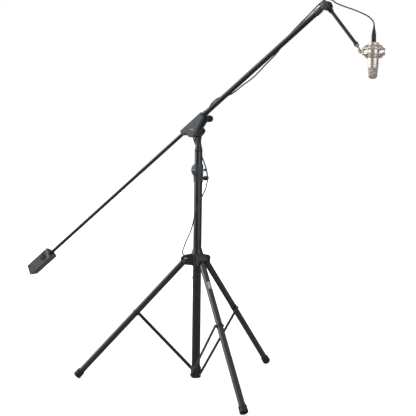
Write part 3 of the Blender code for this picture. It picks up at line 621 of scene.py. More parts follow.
def make_materials():
    materials = {key: paint(*values, **changes) for key, (*values, changes) in PAINTS.items()}
    materials.update({
        "shell": grained("clutch_shell", (0.06, 0.072, 0.088), 0.3, 1250, 0.05),
        # The rear shell is the same moulding as the front one; its darker colour is painted shade, the
        # shadow that falls on that half.
        "shell_rear_painted_shade": grained("rear_clutch_shell_painted_shade", (0.018, 0.02, 0.023), 0.34, 1250, 0.05),
        "collar": grained("collar_moulding", (0.05, 0.06, 0.072), 0.3, 1500, 0.05),
        "tip": grained("tip_moulding", (0.05, 0.056, 0.064), 0.3, 1500, 0.05),
        "bolt": metal("dark_bolt_steel", (0.16, 0.16, 0.17), 0.34),
        "zinc": metal("zinc_steel", (0.62, 0.62, 0.63), 0.3),
        "nickel": metal("satin_nickel", (0.82, 0.74, 0.66), 0.3, (1, 1, 8), 0.04, 0.3, 0.72),
        # The swivel is the same satin nickel as the microphone; its darker, browner colour is painted shade
        # for the brown shading on it.
        "swivel": metal("nickel_painted_shade", (0.46, 0.39, 0.33), 0.34, (1, 1, 8), 0.04, 0.4, 0.8),
        "grille": metal("nickel_mesh", (0.8, 0.73, 0.65), 0.45, metallic=0.55),
        "elastic": woven("elastic_braid", (0.62, 0.54, 0.47), 420, 0.5),
        "strap": woven("hook_and_loop", (0.014, 0.014, 0.016), 700, 0.8, 0.95),
        "label": paper("blank_label"),
    })
    return materials


# ---------------------------------------------------------------- camera

CAMERA_PLACE = Vector((2.92344, -3.87953, 1.1767))
CAMERA_AHEAD = Vector((-0.59224, 0.80156, -0.08215)).normalized()
CAMERA_UP = Vector((-0.05961, 0.05809, 0.99653))
CAMERA_LENS = 93.54  # mm, for a sensor 36 mm wide


def make_camera():
    """The camera, placed by its point, its direction and its upward axis."""
    data = bpy.data.cameras.new("camera")
    data.sensor_width = 36
    data.lens = CAMERA_LENS
    camera = link_object("camera", data)
    right = CAMERA_AHEAD.cross(CAMERA_UP).normalized()
    up = right.cross(CAMERA_AHEAD)
    axes = Matrix((right, up, -CAMERA_AHEAD)).transposed()
    camera.matrix_world = Matrix.Translation(CAMERA_PLACE) @ axes.to_4x4()
    bpy.context.scene.camera = camera


# ---------------------------------------------------------------- cable

TIP_ROUTE = [(MIC_X, MINI_Y, PLUG_TOP + 0.0015), (MIC_X - 0.001, MINI_Y, 1.562), (0.868, MINI_Y, 1.576),
             (0.846, MINI_Y, 1.593), (0.797, MINI_Y, 1.615), (0.741, MINI_Y, 1.635), (0.704, MINI_Y, 1.65),
             (0.687, MINI_Y, 1.662), (0.668, MINI_Y, 1.6675), (0.65, -0.026, 1.664),
             (0.636, -0.032, 1.653), on_boom(0.795, 0.004, 0.0215)]
BOOM_ROUTE = [on_boom(0.768, 0.003, 0.019), on_boom(0.706, 0.002, 0.015), on_boom(0.644, 0.008, 0.0128),
              on_boom(0.597, 0.0145, 0.004), on_boom(0.56, 0.0147, -0.004), on_boom(0.523, 0.012, -0.0105),
              on_boom(0.477, 0.005, -0.0165), on_boom(0.438, 0.0, -0.0225), on_boom(0.39, 0.0, -0.0245),
              on_boom(0.328, 0.0, -0.019), on_boom(0.285, 0.007, -0.0145), on_boom(0.25, 0.015, -0.006),
              on_boom(0.222, 0.015, 0.007), on_boom(0.19, 0.009, 0.0175)]
MAST_ROUTE = [on_boom(0.155, 0.009, 0.0195), on_boom(0.122, 0.0185, 0.017), (0.057, -0.015, 1.207),
              (0.027, -0.008, 1.175), (0.004, -0.006, 1.156), (-0.021, -0.005, 1.147),
              (-0.034, -0.003, 1.126), (-0.033, 0.001, 1.102), (-0.0285, 0.008, 1.072),
              (-0.018, 0.022, 1.036), (-0.002, 0.029, 1.005), (0.015, 0.024, 0.978),
              (0.034, 0.012, 0.956), (0.047, 0.003, 0.933), (0.052, 0.0, 0.91), (0.054, -0.008, 0.885),
              (0.054, -0.02, 0.86), (0.048, -0.035, 0.83), (0.034, -0.045, 0.79), (0.016, -0.045, 0.74),
              (-0.004, -0.042, 0.68), (-0.03, -0.036, 0.638), (-0.056, -0.024, 0.6),
              (-0.076, -0.011, 0.568), (-0.074, 0.012, 0.547), (-0.06, 0.03, 0.54)]
# Where one stretch of the cable ends and the next begins, and the bodies each stretch goes with.
STRETCHES = [
    ("cable_at_microphone", (0.797, MINI_Y, 1.615), ("mic", "mini_boom"), "hanging"),
    ("cable_at_mini_boom", (0.704, MINI_Y, 1.65), ("mini_boom", "boom"), "taut"),
    ("cable_along_boom", on_boom(0.328, 0.0, -0.019), ("boom",), "taut"),
    ("cable_at_boom_clamp", on_boom(0.155, 0.009, 0.0195), ("boom", "cradle"), "taut"),
    ("cable_over_clutch", (-0.033, 0.001, 1.102), ("cradle", "head"), "loose"),
    ("cable_at_neck", (-0.002, 0.029, 1.005), ("head", "inner_mast"), "loose"),
    ("cable_past_collar", (0.048, -0.035, 0.83), ("inner_mast", "stand"), "loose"),
    ("cable_down_mast", (-0.056, -0.024, 0.6), ("stand", "hub"), "hanging"),
]
FOLD_R = HANK_WIDTH / 2 - CABLE_R
LAYER = 2 * CABLE_R + 0.00012


def smooth_route(points, step):
    """Points at even steps along a smooth curve through the route's own points."""
    route = [Vector(p) for p in points]
    route = [2 * route[0] - route[1], *route, 2 * route[-1] - route[-2]]
    fine = []
    for i in range(1, len(route) - 2):
        a, b, c, d = route[i - 1:i + 3]
        for k in range(16):
            t = k / 16
            fine.append(0.5 * (2 * b + (c - a) * t + (2 * a - 5 * b + 4 * c - d) * t * t
                               + (3 * b - a - 3 * c + d) * t ** 3))
    fine.append(route[-2])
    lengths = [0.0]
    for p, q in zip(fine, fine[1:]):
        lengths.append(lengths[-1] + (q - p).length)
    count = max(2, round(lengths[-1] / step))
    out, j = [], 0
    for k in range(count + 1):
        want = lengths[-1] * k / count
        while j < len(fine) - 2 and lengths[j + 1] < want:
            j += 1
        span = lengths[j + 1] - lengths[j]
        out.append(fine[j].lerp(fine[j + 1], (want - lengths[j]) / span))
    return out


def nearest_index(points, target):
    target = Vector(target)
    return min(range(len(points)), key=lambda i: (points[i] - target).length)


def hank_route(turns=4):
    """Long narrow loops side by side, going outwards, and a tail down to the plug."""
    high = HANK_TOP - HANK_WIDTH / 2
    low = HANK_TOP - HANK_LENGTH + HANK_WIDTH / 2
    first = -1.5 * LAYER
    points = [hank_point(-0.004, HANK_TOP + 0.01, first), hank_point(-FOLD_R, HANK_TOP - 0.004, first)]
    for k in range(turns):
        out = first + k * LAYER
        rest = out + 0.5 * LAYER
        points += [hank_point(-FOLD_R, high - (high - low) * t, out) for t in (0.0, 0.33, 0.67, 1.0)]
        points += fold_points(low, 180, 360, out, rest)[1:]
        if k == turns - 1:
            break
        points += [hank_point(FOLD_R, low + (high - low) * t, rest) for t in (0.33, 0.67, 1.0)]
        points += fold_points(high, 0, 180, rest, out + LAYER)[1:-1]
    out = first + (turns - 0.5) * LAYER
    points += [hank_point(FOLD_R, low + (high - low) * t, out) for t in (0.33, 0.67, 1.0)]
    points += fold_points(high, 0, 180, out, out + 0.5 * LAYER)[1:]
    points += [hank_point(-FOLD_R, high - (high - low) * t, out + 0.6 * LAYER) for t in (0.33, 0.67, 1.0)]
    tail = HANK_TOP - HANK_LENGTH
    points += [hank_point(-FOLD_R * 0.9, tail, out + 0.5 * LAYER),
               hank_point(-FOLD_R * 0.45, tail - 0.014, 0.004), hank_point(0, tail - 0.026, 0)]
    return points


def fold_points(z, start, end, out_from, out_to, steps=8):
    """A half turn of the hank, drifting outwards by one step."""
    points = []
    for k in range(steps + 1):
        angle = math.radians(start + (end - start) * k / steps)
        out = out_from + (out_to - out_from) * k / steps
        points.append(hank_point(FOLD_R * math.cos(angle), z + FOLD_R * math.sin(angle), out))
    return points


def make_cable(m):
    """One continuous cable, cut into stretches where it crosses a joint."""
    line = smooth_route(TIP_ROUTE + BOOM_ROUTE + MAST_ROUTE + [hank_point(-0.004, HANK_TOP + 0.03, -0.006)]
                        + hank_route(), CABLE_STEP)
    plug = make_plug(m)
    connector = make_connector(m)
    tie = make_tie(m)
    start = 0
    for name, end_point, bodies, lay in STRETCHES:
        end = nearest_index(line, end_point)
        stretch = line[start:end + 1]
        add_stretch(name, stretch, bodies, m)
        start = end
    add_stretch("cable_hank_turns", line[start:], ("hub",), m)


# The CAD nodes that a stretch of the cable stands for.
CABLE_NODES = {"cable_at_mini_boom": "cable_tip", "cable_along_boom": "cable_boom",
               "cable_down_mast": "cable_mast", "cable_hank_turns": "cable_hank"}


def add_stretch(name, points, bodies, m):
    """One stretch of the cable: riding on one body, or, between two bodies, riding on neither."""
    rides = bodies[0] if len(bodies) == 1 else None
    obj = piece(name, sweep(points, CABLE_R, 14), m["cable"], rides)
    if len(bodies) == 2:
        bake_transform(obj)
    if name in CABLE_NODES:
        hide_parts(CABLE_NODES[name])


def make_connector(m):
    """The cable's connector on the microphone: a barrel, a ribbed grip ring and a slotted boot."""
    low = MIC_TOP + GAP
    barrel = [(0, low), (0.0091, low), (0.0095, low + 0.0008), (0.0095, low + 0.011),
              (0.0088, low + 0.0118), (0.0088, low + 0.0135), (0.0092, low + 0.0143), (0.0092, low + 0.03),
              (0.0086, low + 0.031), (0, low + 0.031)]
    ribs = [(0.006, low + 0.0305), (0.0087, low + 0.031)]
    for i in range(6):
        z = low + 0.0325 + i * 0.0035
        r = 0.0086 - i * 0.00062
        ribs += [(r, z), (r, z + 0.0017), (r - 0.0011, z + 0.002), (r - 0.0013, z + 0.003)]
    ribs += [(0.0034, PLUG_TOP + 0.003), (0.0029, PLUG_TOP + 0.0034), (0, PLUG_TOP + 0.0034)]
    piece("connector_boot", lathe([(0, low + 0.0305), *ribs], 48, edge=0.0003), m["boot"], "mic",
          place=MIC_FRAME)

    def grip(radius, z, angle):
        gripped = low + 0.016 < z < low + 0.0285
        return radius * (1 - 0.03 * (math.cos(24 * angle) > 0)) if gripped and radius > 0.0088 else radius

    detailed = barrel[:7] + [(0.0092, low + 0.0155), (0.0092, low + 0.0162),
                             (0.0092, low + 0.0283)] + barrel[7:]
    return piece("connector_barrel", lathe(detailed, SIDES, grip, edge=0.0002), m["connector"], "mic",
                 ("mic_connector",), MIC_FRAME)


def make_plug(m):
    """The plug at the cable's far end: a boot, a barrel with a release groove and three pins."""
    top = HANK_TOP - HANK_LENGTH - 0.024
    boot = [(0, 0), (0.0031, 0), (0.0036, -0.002)]
    for i in range(5):
        r, z = 0.0044 + i * 0.0007, -0.004 - i * 0.0034
        boot += [(r, z), (r, z - 0.0017), (r - 0.0009, z - 0.002), (r - 0.0009, z - 0.003)]
    boot += [(0.008, -0.0212), (0, -0.0212)]
    barrel = [(0, -0.0206), (0.0086, -0.0206), (0.009, -0.0214), (0.009, -0.033), (0.0084, -0.0336),
              (0.0084, -0.035), (0.0094, -0.0358), (0.0094, -0.056), (0.0082, -0.0566), (0.0082, -0.047),
              (0, -0.047)]
    pins = []
    for i in range(3):
        angle = 2 * math.pi * i / 3 + 0.5
        pin = lathe([(0, -0.0475), (0.0011, -0.0475), (0.0011, -0.055), (0.0005, -0.056), (0, -0.056)],
                    16)
        pins.append(placed(pin, move(*polar(0.0042, angle, 0))))
    place = Matrix.Translation(hank_point(0, top))
    piece("plug_boot", lathe(boot, 48, edge=0.0003), m["boot"], "hub", place=place)
    piece("plug_pins", together(*pins), m["zinc"], "hub", place=place)
    return piece("plug_barrel", lathe(barrel, SIDES, edge=0.0003), m["connector"], "hub",
                 ("cable_plug",), place)


def make_tie(m):
    """A hook-and-loop strap round the hank's waist, hung by a loop from the hub knob's stem."""
    half_w, half_d = HANK_WIDTH / 2 + 0.0012, 2.2 * LAYER + 0.0016
    waist = soften(box(-half_w, half_w, -half_d, half_d), 0.006, 6, True)
    loop = [hank_point(x, HANK_TOP - 0.046, y) for x, y in waist]
    strap = band(loop, (0, 0, 1), 0.014, 0.0012)
    outward = Vector(polar(1, HUB_KNOB_AZIMUTH, 0))
    stem = outward * 0.0289 + Vector((0, 0, HUB_KNOB_Z))
    across = Vector((-outward.y, outward.x, 0))
    hanger = [stem + across * x + Vector((0, 0, z)) for x, z in arc((0, 0), 0.0056, 0, 180, 10)]
    foot = hank_point(0, HANK_TOP - 0.04, -half_d)
    hanger += [stem.lerp(foot, t) - across * (0.0056 - 0.003 * t) for t in (0.25, 0.5, 0.75, 1.0)]
    hanger += [stem.lerp(foot, t) + across * (0.0056 - 0.003 * t) for t in (1.0, 0.75, 0.5, 0.25)]
    hook = band(hanger, outward, 0.0018, 0.001)
    return piece("cable_tie", together(strap, hook), m["strap"], "hub")


# ---------------------------------------------------------------- shared small pieces

def knob_mesh(stem_r, stem_low, low, high, radius, lobes=12, depth=0.08, dish=0.0012):
    """A stem, a scalloped grip and a dished cap, turned about Z."""
    height = high - low
    profile = [(0, stem_low), (stem_r, stem_low), (stem_r, low - 0.0006), (stem_r * 1.6, low),
               (radius * 0.86, low), (radius, low + height * 0.14), (radius, low + height * 0.5),
               (radius, low + height * 0.8), (radius * 0.93, high - height * 0.04), (radius * 0.84, high),
               (radius * 0.62, high), (radius * 0.56, high - dish), (radius * 0.25, high - dish),
               (0, high - dish)]

    def scalloped(r, z, angle):
        if r < radius * 0.8 or not low < z < high:
            return r
        wave = 0.5 - 0.5 * math.cos(lobes * angle)
        return r * (1 - depth * (1 - wave) ** 3)

    return lathe(profile, SIDES, scalloped, edge=height * 0.1)


def knurled(count, depth, over):
    """A lathe's shape: square teeth all round, on every point further out than over."""
    return lambda r, _, angle: r * (1 - depth * (math.cos(count * angle) > 0)) if r > over else r


def hexagon(radius, low, high, bore=0.0):
    """A hex nut or bolt head with chamfered corners."""
    half = math.radians(30)

    def six(r, _, angle):
        if r < radius * 0.8:
            return r
        flat = (angle + half) % (2 * half) - half
        return min(r, radius * math.cos(half) / math.cos(flat))

    chamfer = radius * 0.1
    outer = [(radius - chamfer, low), (radius, low + chamfer * 0.6), (radius, high - chamfer * 0.6),
             (radius - chamfer, high)]
    inner = [(bore, low), *outer, (bore, high)] if bore else [(0, low), *outer, (0, high)]
    return lathe(inner, 72, six, edge=0.0)


def domed_rivet(radius, height, low):
    """A button head standing on Z at low, with a small dimple."""
    rise = [(radius * math.cos(math.radians(a)), low + height * math.sin(math.radians(a)))
            for a in (0, 20, 40, 60, 75)]
    return lathe([(0, low - 0.001), (radius, low - 0.001), *rise, (radius * 0.18, low + height * 0.95),
                  (0, low + height * 0.9)], 40, edge=0.0)


# ---------------------------------------------------------------- tripod

def make_tripod(m):
    """The casting under the mast, the hub, and the three legs with their braces."""
    make_base(m)
    make_hub(m)
    for key, azimuth in LEG_AZIMUTHS.items():
        make_leg(key, azimuth, m)
        make_brace(key, azimuth, m)
    make_label(m)


def make_base(m):
    """The casting under the mast: a rounded skirt, three brace flats and a recessed underside."""
    radius = 0.0235
    profile = [(0, 0.003), (0.009, 0.003), (0.01, 0), (radius - 0.0022, 0), (radius, 0.0022),
               (radius, BASE_TOP - 0.004), (radius - 0.0022, BASE_TOP - 0.0005), (0.0195, BASE_TOP),
               (0.017, BASE_TOP), (0.017, BASE_TOP + 0.02), (0, BASE_TOP + 0.02)]
    base = piece("base_casting", lathe(profile), m["casting"], "stand", ("mast_base",))
    for key, azimuth in LEG_AZIMUTHS.items():
        corners = box(-0.04, 0.04, -0.01, BASE_TOP + 0.001)
        carve(base, placed(plate(corners, -0.04, -BRACE_INNER + GAP, 0), turn_z(azimuth)))
        place = move(0, 0, BRACE_PIN_Z) @ turn_z(azimuth) @ Y_DOWN
        head = together(domed_rivet(0.0062, 0.003, BRACE_OUTER + 0.0012),
                        lathe([(0, BRACE_INNER), (0.0029, BRACE_INNER), (0.0029, BRACE_OUTER),
                               (0.0074, BRACE_OUTER), (0.0074, BRACE_OUTER + 0.0008),
                               (0, BRACE_OUTER + 0.0008)], 40, edge=0.0002))
        piece(f"brace_pin_{key}_head", head, m["bolt"], "stand", (f"brace_pin_{key}",), place)


def make_hub(m):
    """The sliding casting: a flared sleeve with three hooded brackets, its knob and the leg bolts."""
    bore = OUTER_R + GAP
    sleeve = [(bore, 0.514), (0.0236, 0.514), (0.025, 0.5158), (0.0256, 0.53), (0.0266, 0.552),
              (0.0286, 0.566), (0.0284, 0.569), (0.0262, 0.573), (0.0232, 0.583), (0.0212, 0.59),
              (0.0206, 0.5925), (bore, 0.5925)]
    parts = [lathe(sleeve, edge=0.0012)]
    for azimuth in LEG_AZIMUTHS.values():
        parts.append(placed(hood_mesh(), turn_z(azimuth)))
    boss = lathe([(0, 0.0195), (0.0098, 0.0195), (0.008, 0.0225), (0.0074, 0.0275), (0, 0.0275)], 48)
    knob_place = move(0, 0, HUB_KNOB_Z) @ turn_z(HUB_KNOB_AZIMUTH) @ X_UP
    parts.append(placed(boss, knob_place))
    piece("hub_casting", together(*parts), m["casting"], "hub", ("hub_body",))
    badge = placed(badge_mesh(0.016, 0.0045),
                   turn_z(LEG_AZIMUTHS["a"] - math.pi) @ move(-0.05, -0.02, 0.548))
    piece("hub_badge", badge, m["badge"], "hub")
    knob = knob_mesh(0.004, 0.0278, 0.0308, 0.05, 0.012, 8, 0.12)
    piece("hub_knob_grip", knob, m["knob"], "hub_knob", ("hub_knob",), knob_place)
    for key, azimuth in LEG_AZIMUTHS.items():
        place = turn_z(azimuth) @ move(HUB_PIN_RADIUS, 0, HUB_PIN_Z) @ Y_UP
        bolt = together(lathe(box(0, 0.0036, -0.0205, 0.0205), 32),
                        lathe(box(0.0037, 0.0072, 0.0206, 0.0213), 40, edge=0.0001),
                        domed_rivet(0.006, 0.0034, 0.0215),
                        placed(hexagon(0.0062, 0.0207, 0.0243), Matrix.Rotation(math.pi, 4, "X")))
        piece(f"leg_bolt_{key}", bolt, m["bolt"], "hub", (f"leg_pin_{key}",), place)


def hood_mesh():
    """Two cheeks, a sloping roof and a brow over the leg's top: a channel open below."""
    x, z = HUB_PIN_RADIUS, HUB_PIN_Z
    far = 0.0722
    roof_in, roof_out, brow = 0.568, 0.5592, 0.543
    cheek = soften([(0.0205, roof_in - 0.001), (0.0205, 0.5165), (0.034, 0.5175), (0.05, 0.5185),
                    (0.062, 0.5195), (far - 0.0006, 0.526), (far - 0.0006, roof_out - 0.01),
                    (0.064, roof_out - 0.0005)], 0.005, 5, True)
    top = soften([(0.0205, roof_in), (0.06, roof_out + 0.0008), (far, roof_out - 0.006), (far, brow)],
                 0.008, 8)
    under = soften([(0.0205, roof_in - 0.0045), (0.059, roof_out - 0.0024),
                    (far - 0.0028, roof_out - 0.0075), (far - 0.0028, brow)], 0.007, 8)
    parts = [plate(cheek, 0.0166, 0.02, 0.0008), plate(cheek, -0.02, -0.0166, 0.0008),
             plate(top + under[::-1], -0.0206, 0.0206, 0.0012, 3)]
    washer = lathe(box(0, 0.0092, 0.0195, 0.0204), 48, edge=0.0002)
    for flip in (Y_UP, Y_DOWN):
        parts.append(placed(washer.copy(), move(x, 0, z) @ flip))
    washer.free()
    return together(*parts)


def leg_frame(azimuth):
    """A leg's frame: its hinge at the origin and the leg running down -Z."""
    hinge = Vector(polar(1, azimuth, 0)) * HUB_PIN_RADIUS + Vector((0, 0, HUB_PIN_Z))
    return Matrix.Translation(hinge) @ turn_z(azimuth) @ turn_y(-LEG_TILT)


def make_leg(key, azimuth, m):
    """A leg's top fitting and tube, with its brace clip and foot."""
    place = leg_frame(azimuth)
    body = f"leg_{key}"
    plug = [(0, -0.07), (0.012, -0.07), (0.0122, -0.001), (0.0142, -0.0008), (0.0142, 0.001),
            (0.013, 0.0042), (0.0095, 0.0042), (0, 0.0044)]
    boss = placed(lathe(box(0.0038, 0.007, -0.016, 0.016), 40), Y_UP)
    piece(f"leg_top_{key}", together(lathe(plug), boss), m["casting"], body,
          (f"leg_yoke_{key}",), place)
    tube_end = -LEG_LENGTH + 0.0063
    tube = box(0.0124, LEG_R, tube_end, -0.001)
    piece(f"leg_tube_{key}_coated", lathe(tube), m["leg"], body, (f"leg_tube_{key}",), place)
    make_clip(key, place, m)
    make_foot(key, place, m)


def make_clip(key, place, m):
    """The brace's band on the leg: a split clamp, its boss, and a hex nut and screw."""
    at = place @ move(0, 0, -RIVET_DISTANCE)
    inner = LEG_R + GAP
    outer, half = 0.0153, 0.0075
    band_profile = [(inner, -half), (outer - 0.0004, -half), (outer, -half + 0.0008),
                    (outer, half - 0.0008), (outer - 0.0004, half), (inner, half)]
    boss = lathe([(0, 0.0146), (0.0074, 0.0146), (0.0066, 0.0166), (0.0062, BRACE_INNER - GAP),
                  (0, BRACE_INNER - GAP)], 48)
    lug = plate(soften(box(-0.005, 0.005, -0.006, 0.006), 0.002, 3, True),
                0.014, 0.0166, 0.0008)
    clip = together(lathe(band_profile, edge=0.0004), placed(boss, Y_DOWN), lug)
    piece(f"brace_clip_{key}", clip, m["knob"], f"leg_{key}", (f"leg_clip_{key}",), at)
    nut = together(hexagon(0.0044, 0.0167, 0.0196), domed_rivet(0.0022, 0.0008, 0.0196))
    piece(f"brace_clip_nut_{key}", placed(nut, Y_UP), m["bolt"], f"leg_{key}", place=at)


def make_foot(key, place, m):
    """A rubber cap: three grip ribs, a thick rounded end and a flat where it stands."""
    end = -LEG_LENGTH
    inner = LEG_R + GAP
    profile = [(0, end)] + arc((0.016, end + 0.0028), 0.0027, 270, 350, 4)
    profile += [(0.0186, end + 0.01), (0.018, end + 0.014)]
    for i in range(3):
        z = end + 0.0165 + i * 0.0052
        profile += [(0.0178, z), (0.0183, z + 0.0006), (0.0183, z + 0.0028), (0.0178, z + 0.0034)]
    profile += [(0.017, end + 0.033), (0.0158, end + 0.0345), (inner, end + 0.0345),
                (inner, end + 0.006), (0, end + 0.006)]
    bm = placed(lathe(profile, edge=0.0003), place)
    geometry = bm.verts[:] + bm.edges[:] + bm.faces[:]
    cut = bmesh.ops.bisect_plane(bm, geom=geometry, plane_co=(0, 0, FLOOR_Z), plane_no=(0, 0, -1),
                                 clear_outer=True)
    rim = [e for e in cut["geom_cut"] if isinstance(e, bmesh.types.BMEdge)]
    bmesh.ops.contextual_create(bm, geom=rim)
    placed(bm, place.inverted())
    piece(f"foot_cap_{key}", bm, m["rubber"], f"leg_{key}", (f"foot_{key}",), place)


def make_brace(key, azimuth, m):
    """A pressed flat bar with rounded ends and a shallow rib along its outer face."""
    place = move(0, 0, BRACE_PIN_Z) @ turn_z(azimuth) @ turn_y(BRACE_TILT)
    half = BRACE_HALF_WIDTH
    outline = arc((0, 0), half, 180, 360, 16) + arc((0, BRACE_LENGTH), half, 0, 180, 16)
    rib = arc((0, 0.028), 0.002, 180, 360, 8) + arc((0, BRACE_LENGTH - 0.028), 0.002, 0, 180, 8)
    bar = together(plate(outline, -BRACE_OUTER, -BRACE_INNER, 0.0007),
                   plate(rib, -BRACE_OUTER - 0.0007, -BRACE_OUTER + 0.001, 0.0006))
    piece(f"brace_bar_{key}", bar, m["brace"], f"brace_{key}", (f"brace_{key}",), place)
    at = place @ move(0, 0, BRACE_LENGTH) @ Y_DOWN
    head = together(domed_rivet(0.006, 0.003, BRACE_OUTER + 0.0012),
                    lathe(box(0, 0.0073, BRACE_OUTER, BRACE_OUTER + 0.0009), 40, edge=0.0002))
    piece(f"brace_rivet_{key}_head", head, m["bolt"], f"brace_{key}",
          (f"brace_rivet_{key}",), at)


LABEL_FROM, LABEL_TO = 0.112, 0.148  # along the leg, from its hinge
LABEL_TURN = math.radians(8)  # round the leg, from its upper side
LABEL_HALF_ANGLE = math.radians(44)
LABEL_GAP = 0.00015  # from the leg's paint
LABEL_THICKNESS = 0.00012


def make_label(m):
    """A blank paper sticker, curved round the front leg."""
    bm = bmesh.new()
    radius, steps, rows = LEG_R + LABEL_GAP, 16, 6
    columns = []
    for i in range(steps + 1):
        angle = LABEL_TURN - LABEL_HALF_ANGLE + 2 * LABEL_HALF_ANGLE * i / steps
        heights = [-LABEL_FROM - (LABEL_TO - LABEL_FROM) * k / rows for k in range(rows + 1)]
        columns.append([bm.verts.new(polar(radius, angle, z)) for z in heights])
    for left, right in zip(columns, columns[1:]):
        for k in range(rows):
            bm.faces.new((left[k], left[k + 1], right[k + 1], right[k]))
    place = leg_frame(LEG_AZIMUTHS["b"])
    label = piece("blank_label", bm, m["label"], "leg_b", place=place)
    solid = label.modifiers.new("Thickness", "SOLIDIFY")
    solid.thickness = LABEL_THICKNESS
    solid.offset = 1


# ---------------------------------------------------------------- mast

def make_mast(m):
    """The mast's two tubes and its collar."""
    outer = box(0.0178, OUTER_R, BASE_TOP + GAP, OUTER_TOP)
    piece("lower_mast_tube", lathe(outer), m["mast"], "stand", ("mast_outer",))
    inner = box(0.016, INNER_R, 0.15, 1.03)
    piece("upper_mast_tube", lathe(inner), m["mast"], "inner_mast", ("mast_inner",))
    make_collar(m)


def ellipse(half_width, half_height, center_z, steps=64):
    """An oval outline of (x, z) points."""
    angles = [2 * math.pi * i / steps for i in range(steps)]
    return [(half_width * math.cos(a), center_z + half_height * math.sin(a)) for a in angles]


def crowned_oval(half_width, half_height, center_z, near, far, steps=64, rings=10):
    """An oval button on the -Y side: a straight rim from near, crowned out to far."""
    bm = bmesh.new()
    depth, wall = near - far, 0.35  # wall: the share of the depth that is a straight rim
    layers = [(1.0, near), (1.0, near - depth * wall)]
    for i in range(1, rings + 1):
        turn = i / rings * math.pi / 2
        layers.append((max(math.cos(turn), 0.0), near - depth * (wall + (1 - wall) * math.sin(turn))))
    rows = []
    for scale, y in layers[:-1]:
        rows.append([bm.verts.new((scale * x, y, center_z + scale * (z - center_z)))
                     for x, z in ellipse(half_width, half_height, center_z, steps)])
    peak = bm.verts.new((0, far, center_z))
    skin(bm, rows)
    for i in range(steps):
        bm.faces.new((rows[-1][i], rows[-1][(i + 1) % steps], peak))
    bm.faces.new(rows[0][::-1])
    return bm


def make_collar(m):
    """The height clamp: a ringed sleeve, a crowned oval cover, its knob and its spring pin."""
    low_bore, high_bore, step = OUTER_R + GAP, INNER_R + GAP, OUTER_TOP + GAP
    body = [(low_bore, COLLAR_LOW), (0.0219, COLLAR_LOW), (0.0224, COLLAR_LOW + 0.001),
            (0.0224, COLLAR_LOW + 0.006), (0.0215, COLLAR_LOW + 0.0068), (0.0215, COLLAR_LOW + 0.0085),
            (0.0222, COLLAR_LOW + 0.0095), (0.0222, COLLAR_TOP - 0.008), (0.0212, COLLAR_TOP - 0.003),
            (0.0196, COLLAR_TOP), (high_bore, COLLAR_TOP), (high_bore, step), (low_bore, step)]
    face = plate(ellipse(0.0195, 0.0255, COLLAR_FACE_Z), -0.0235, -0.019, 0.0008)
    bosses = []
    for z, radius in ((COLLAR_KNOB_Z, 0.008), (COLLAR_PIN_Z, 0.0066)):
        boss = lathe([(0, 0.0195), (radius + 0.0022, 0.0195), (radius + 0.0004, 0.0225), (radius, 0.029),
                      (0, 0.029)], 48)
        bosses.append(placed(boss, move(0, 0, z) @ Y_UP))
    piece("collar_sleeve", together(lathe(body, edge=0.0008), face, *bosses), m["collar"], "stand",
          ("collar_body",))
    cover = crowned_oval(0.0198, 0.0258, COLLAR_FACE_Z, -0.0238, -0.0312)
    piece("collar_button", cover, m["collar"], "stand", ("collar_cover",))
    badge = placed(badge_mesh(0.014, 0.004), move(-0.001, -0.0311, COLLAR_FACE_Z + 0.001))
    piece("collar_badge", badge, m["badge"], "stand")
    knob = knob_mesh(0.004, 0.0293, 0.044, 0.069, 0.0105, 8, 0.12)
    piece("collar_knob_grip", knob, m["knob"], "collar_knob", ("collar_knob",),
          move(0, 0, COLLAR_KNOB_Z) @ Y_UP)
    stem = lathe([(0, 0.0293), (0.003, 0.0293), (0.003, 0.04), (0.0046, 0.0402), (0.0046, 0.0426),
                  (0, 0.0426)], 40,
                 edge=0.0003)
    pin_place = move(0, 0, COLLAR_PIN_Z) @ Y_UP
    piece("collar_pin_stem", stem, m["zinc"], "collar_pin", ("collar_pin",), pin_place)
    button = knob_mesh(0.003, 0.0422, 0.0428, 0.0545, 0.006, 16, 0.07, 0.0006)
    piece("collar_pin_cap", button, m["knob"], "collar_pin", place=pin_place)


# ---------------------------------------------------------------- boom head

def make_head(m):
    """The neck on the inner mast, the rear clutch half with its toothed rim, and its knob."""
    top = 1.03 + GAP
    neck = [(0, 0.999), (0.0157, 0.999), (0.0157, top), (0.0178, top), (0.018, 1.0345), (0.0172, 1.04),
            (0.015, 1.049), (0.0126, 1.061), (0.0108, 1.076), (0.0104, 1.086), (0.0112, 1.112), (0, 1.112)]
    rear = [(0, SEAM_Y + 0.0045), (0.0262, SEAM_Y + 0.0045), (0.0272, -0.015), (CLUTCH_R, -0.01),
            (CLUTCH_R, 0.002), (0.0262, 0.007), (0.0215, 0.0104), (0.014, 0.011), (0, 0.011)]
    web = plate(soften([(-0.0105, -0.052), (0.0105, -0.052), (0.0135, -0.03), (0.018, -0.018),
                        (-0.018, -0.018), (-0.0135, -0.03)], 0.006, 4, True), -0.016, 0.005, 0.0025, 3)
    parts = [lathe(neck, edge=0.0015), placed(lathe(rear, edge=0.0012), AT_PIVOT @ Y_UP),
             placed(web, AT_PIVOT)]
    for angle in (-60, 0, 60, 120, 180, 240):
        rib = plate(soften(box(-0.0012, 0.0012, 0.015, 0.0262), 0.0004, 2, True),
                    0.006, 0.0104, 0.0005)
        parts.append(placed(rib, AT_PIVOT @ turn_y(math.radians(angle))))
    piece("neck_casting", together(*parts), m["neck"], "head", ("head_neck",))
    teeth = lathe(box(0, 0.025, SEAM_Y + GAP, SEAM_Y + 0.0046), 144,
                  knurled(36, 0.03, 0.02), edge=0.0)
    piece("clutch_ring", teeth, m["bolt"], "head", place=AT_PIVOT @ Y_UP)
    knob = knob_mesh(0.005, 0.0113, 0.014, 0.034, 0.014, 10, 0.1)
    piece("head_knob_grip", knob, m["knob"], "head_knob", ("head_knob",),
          AT_PIVOT @ Y_UP)


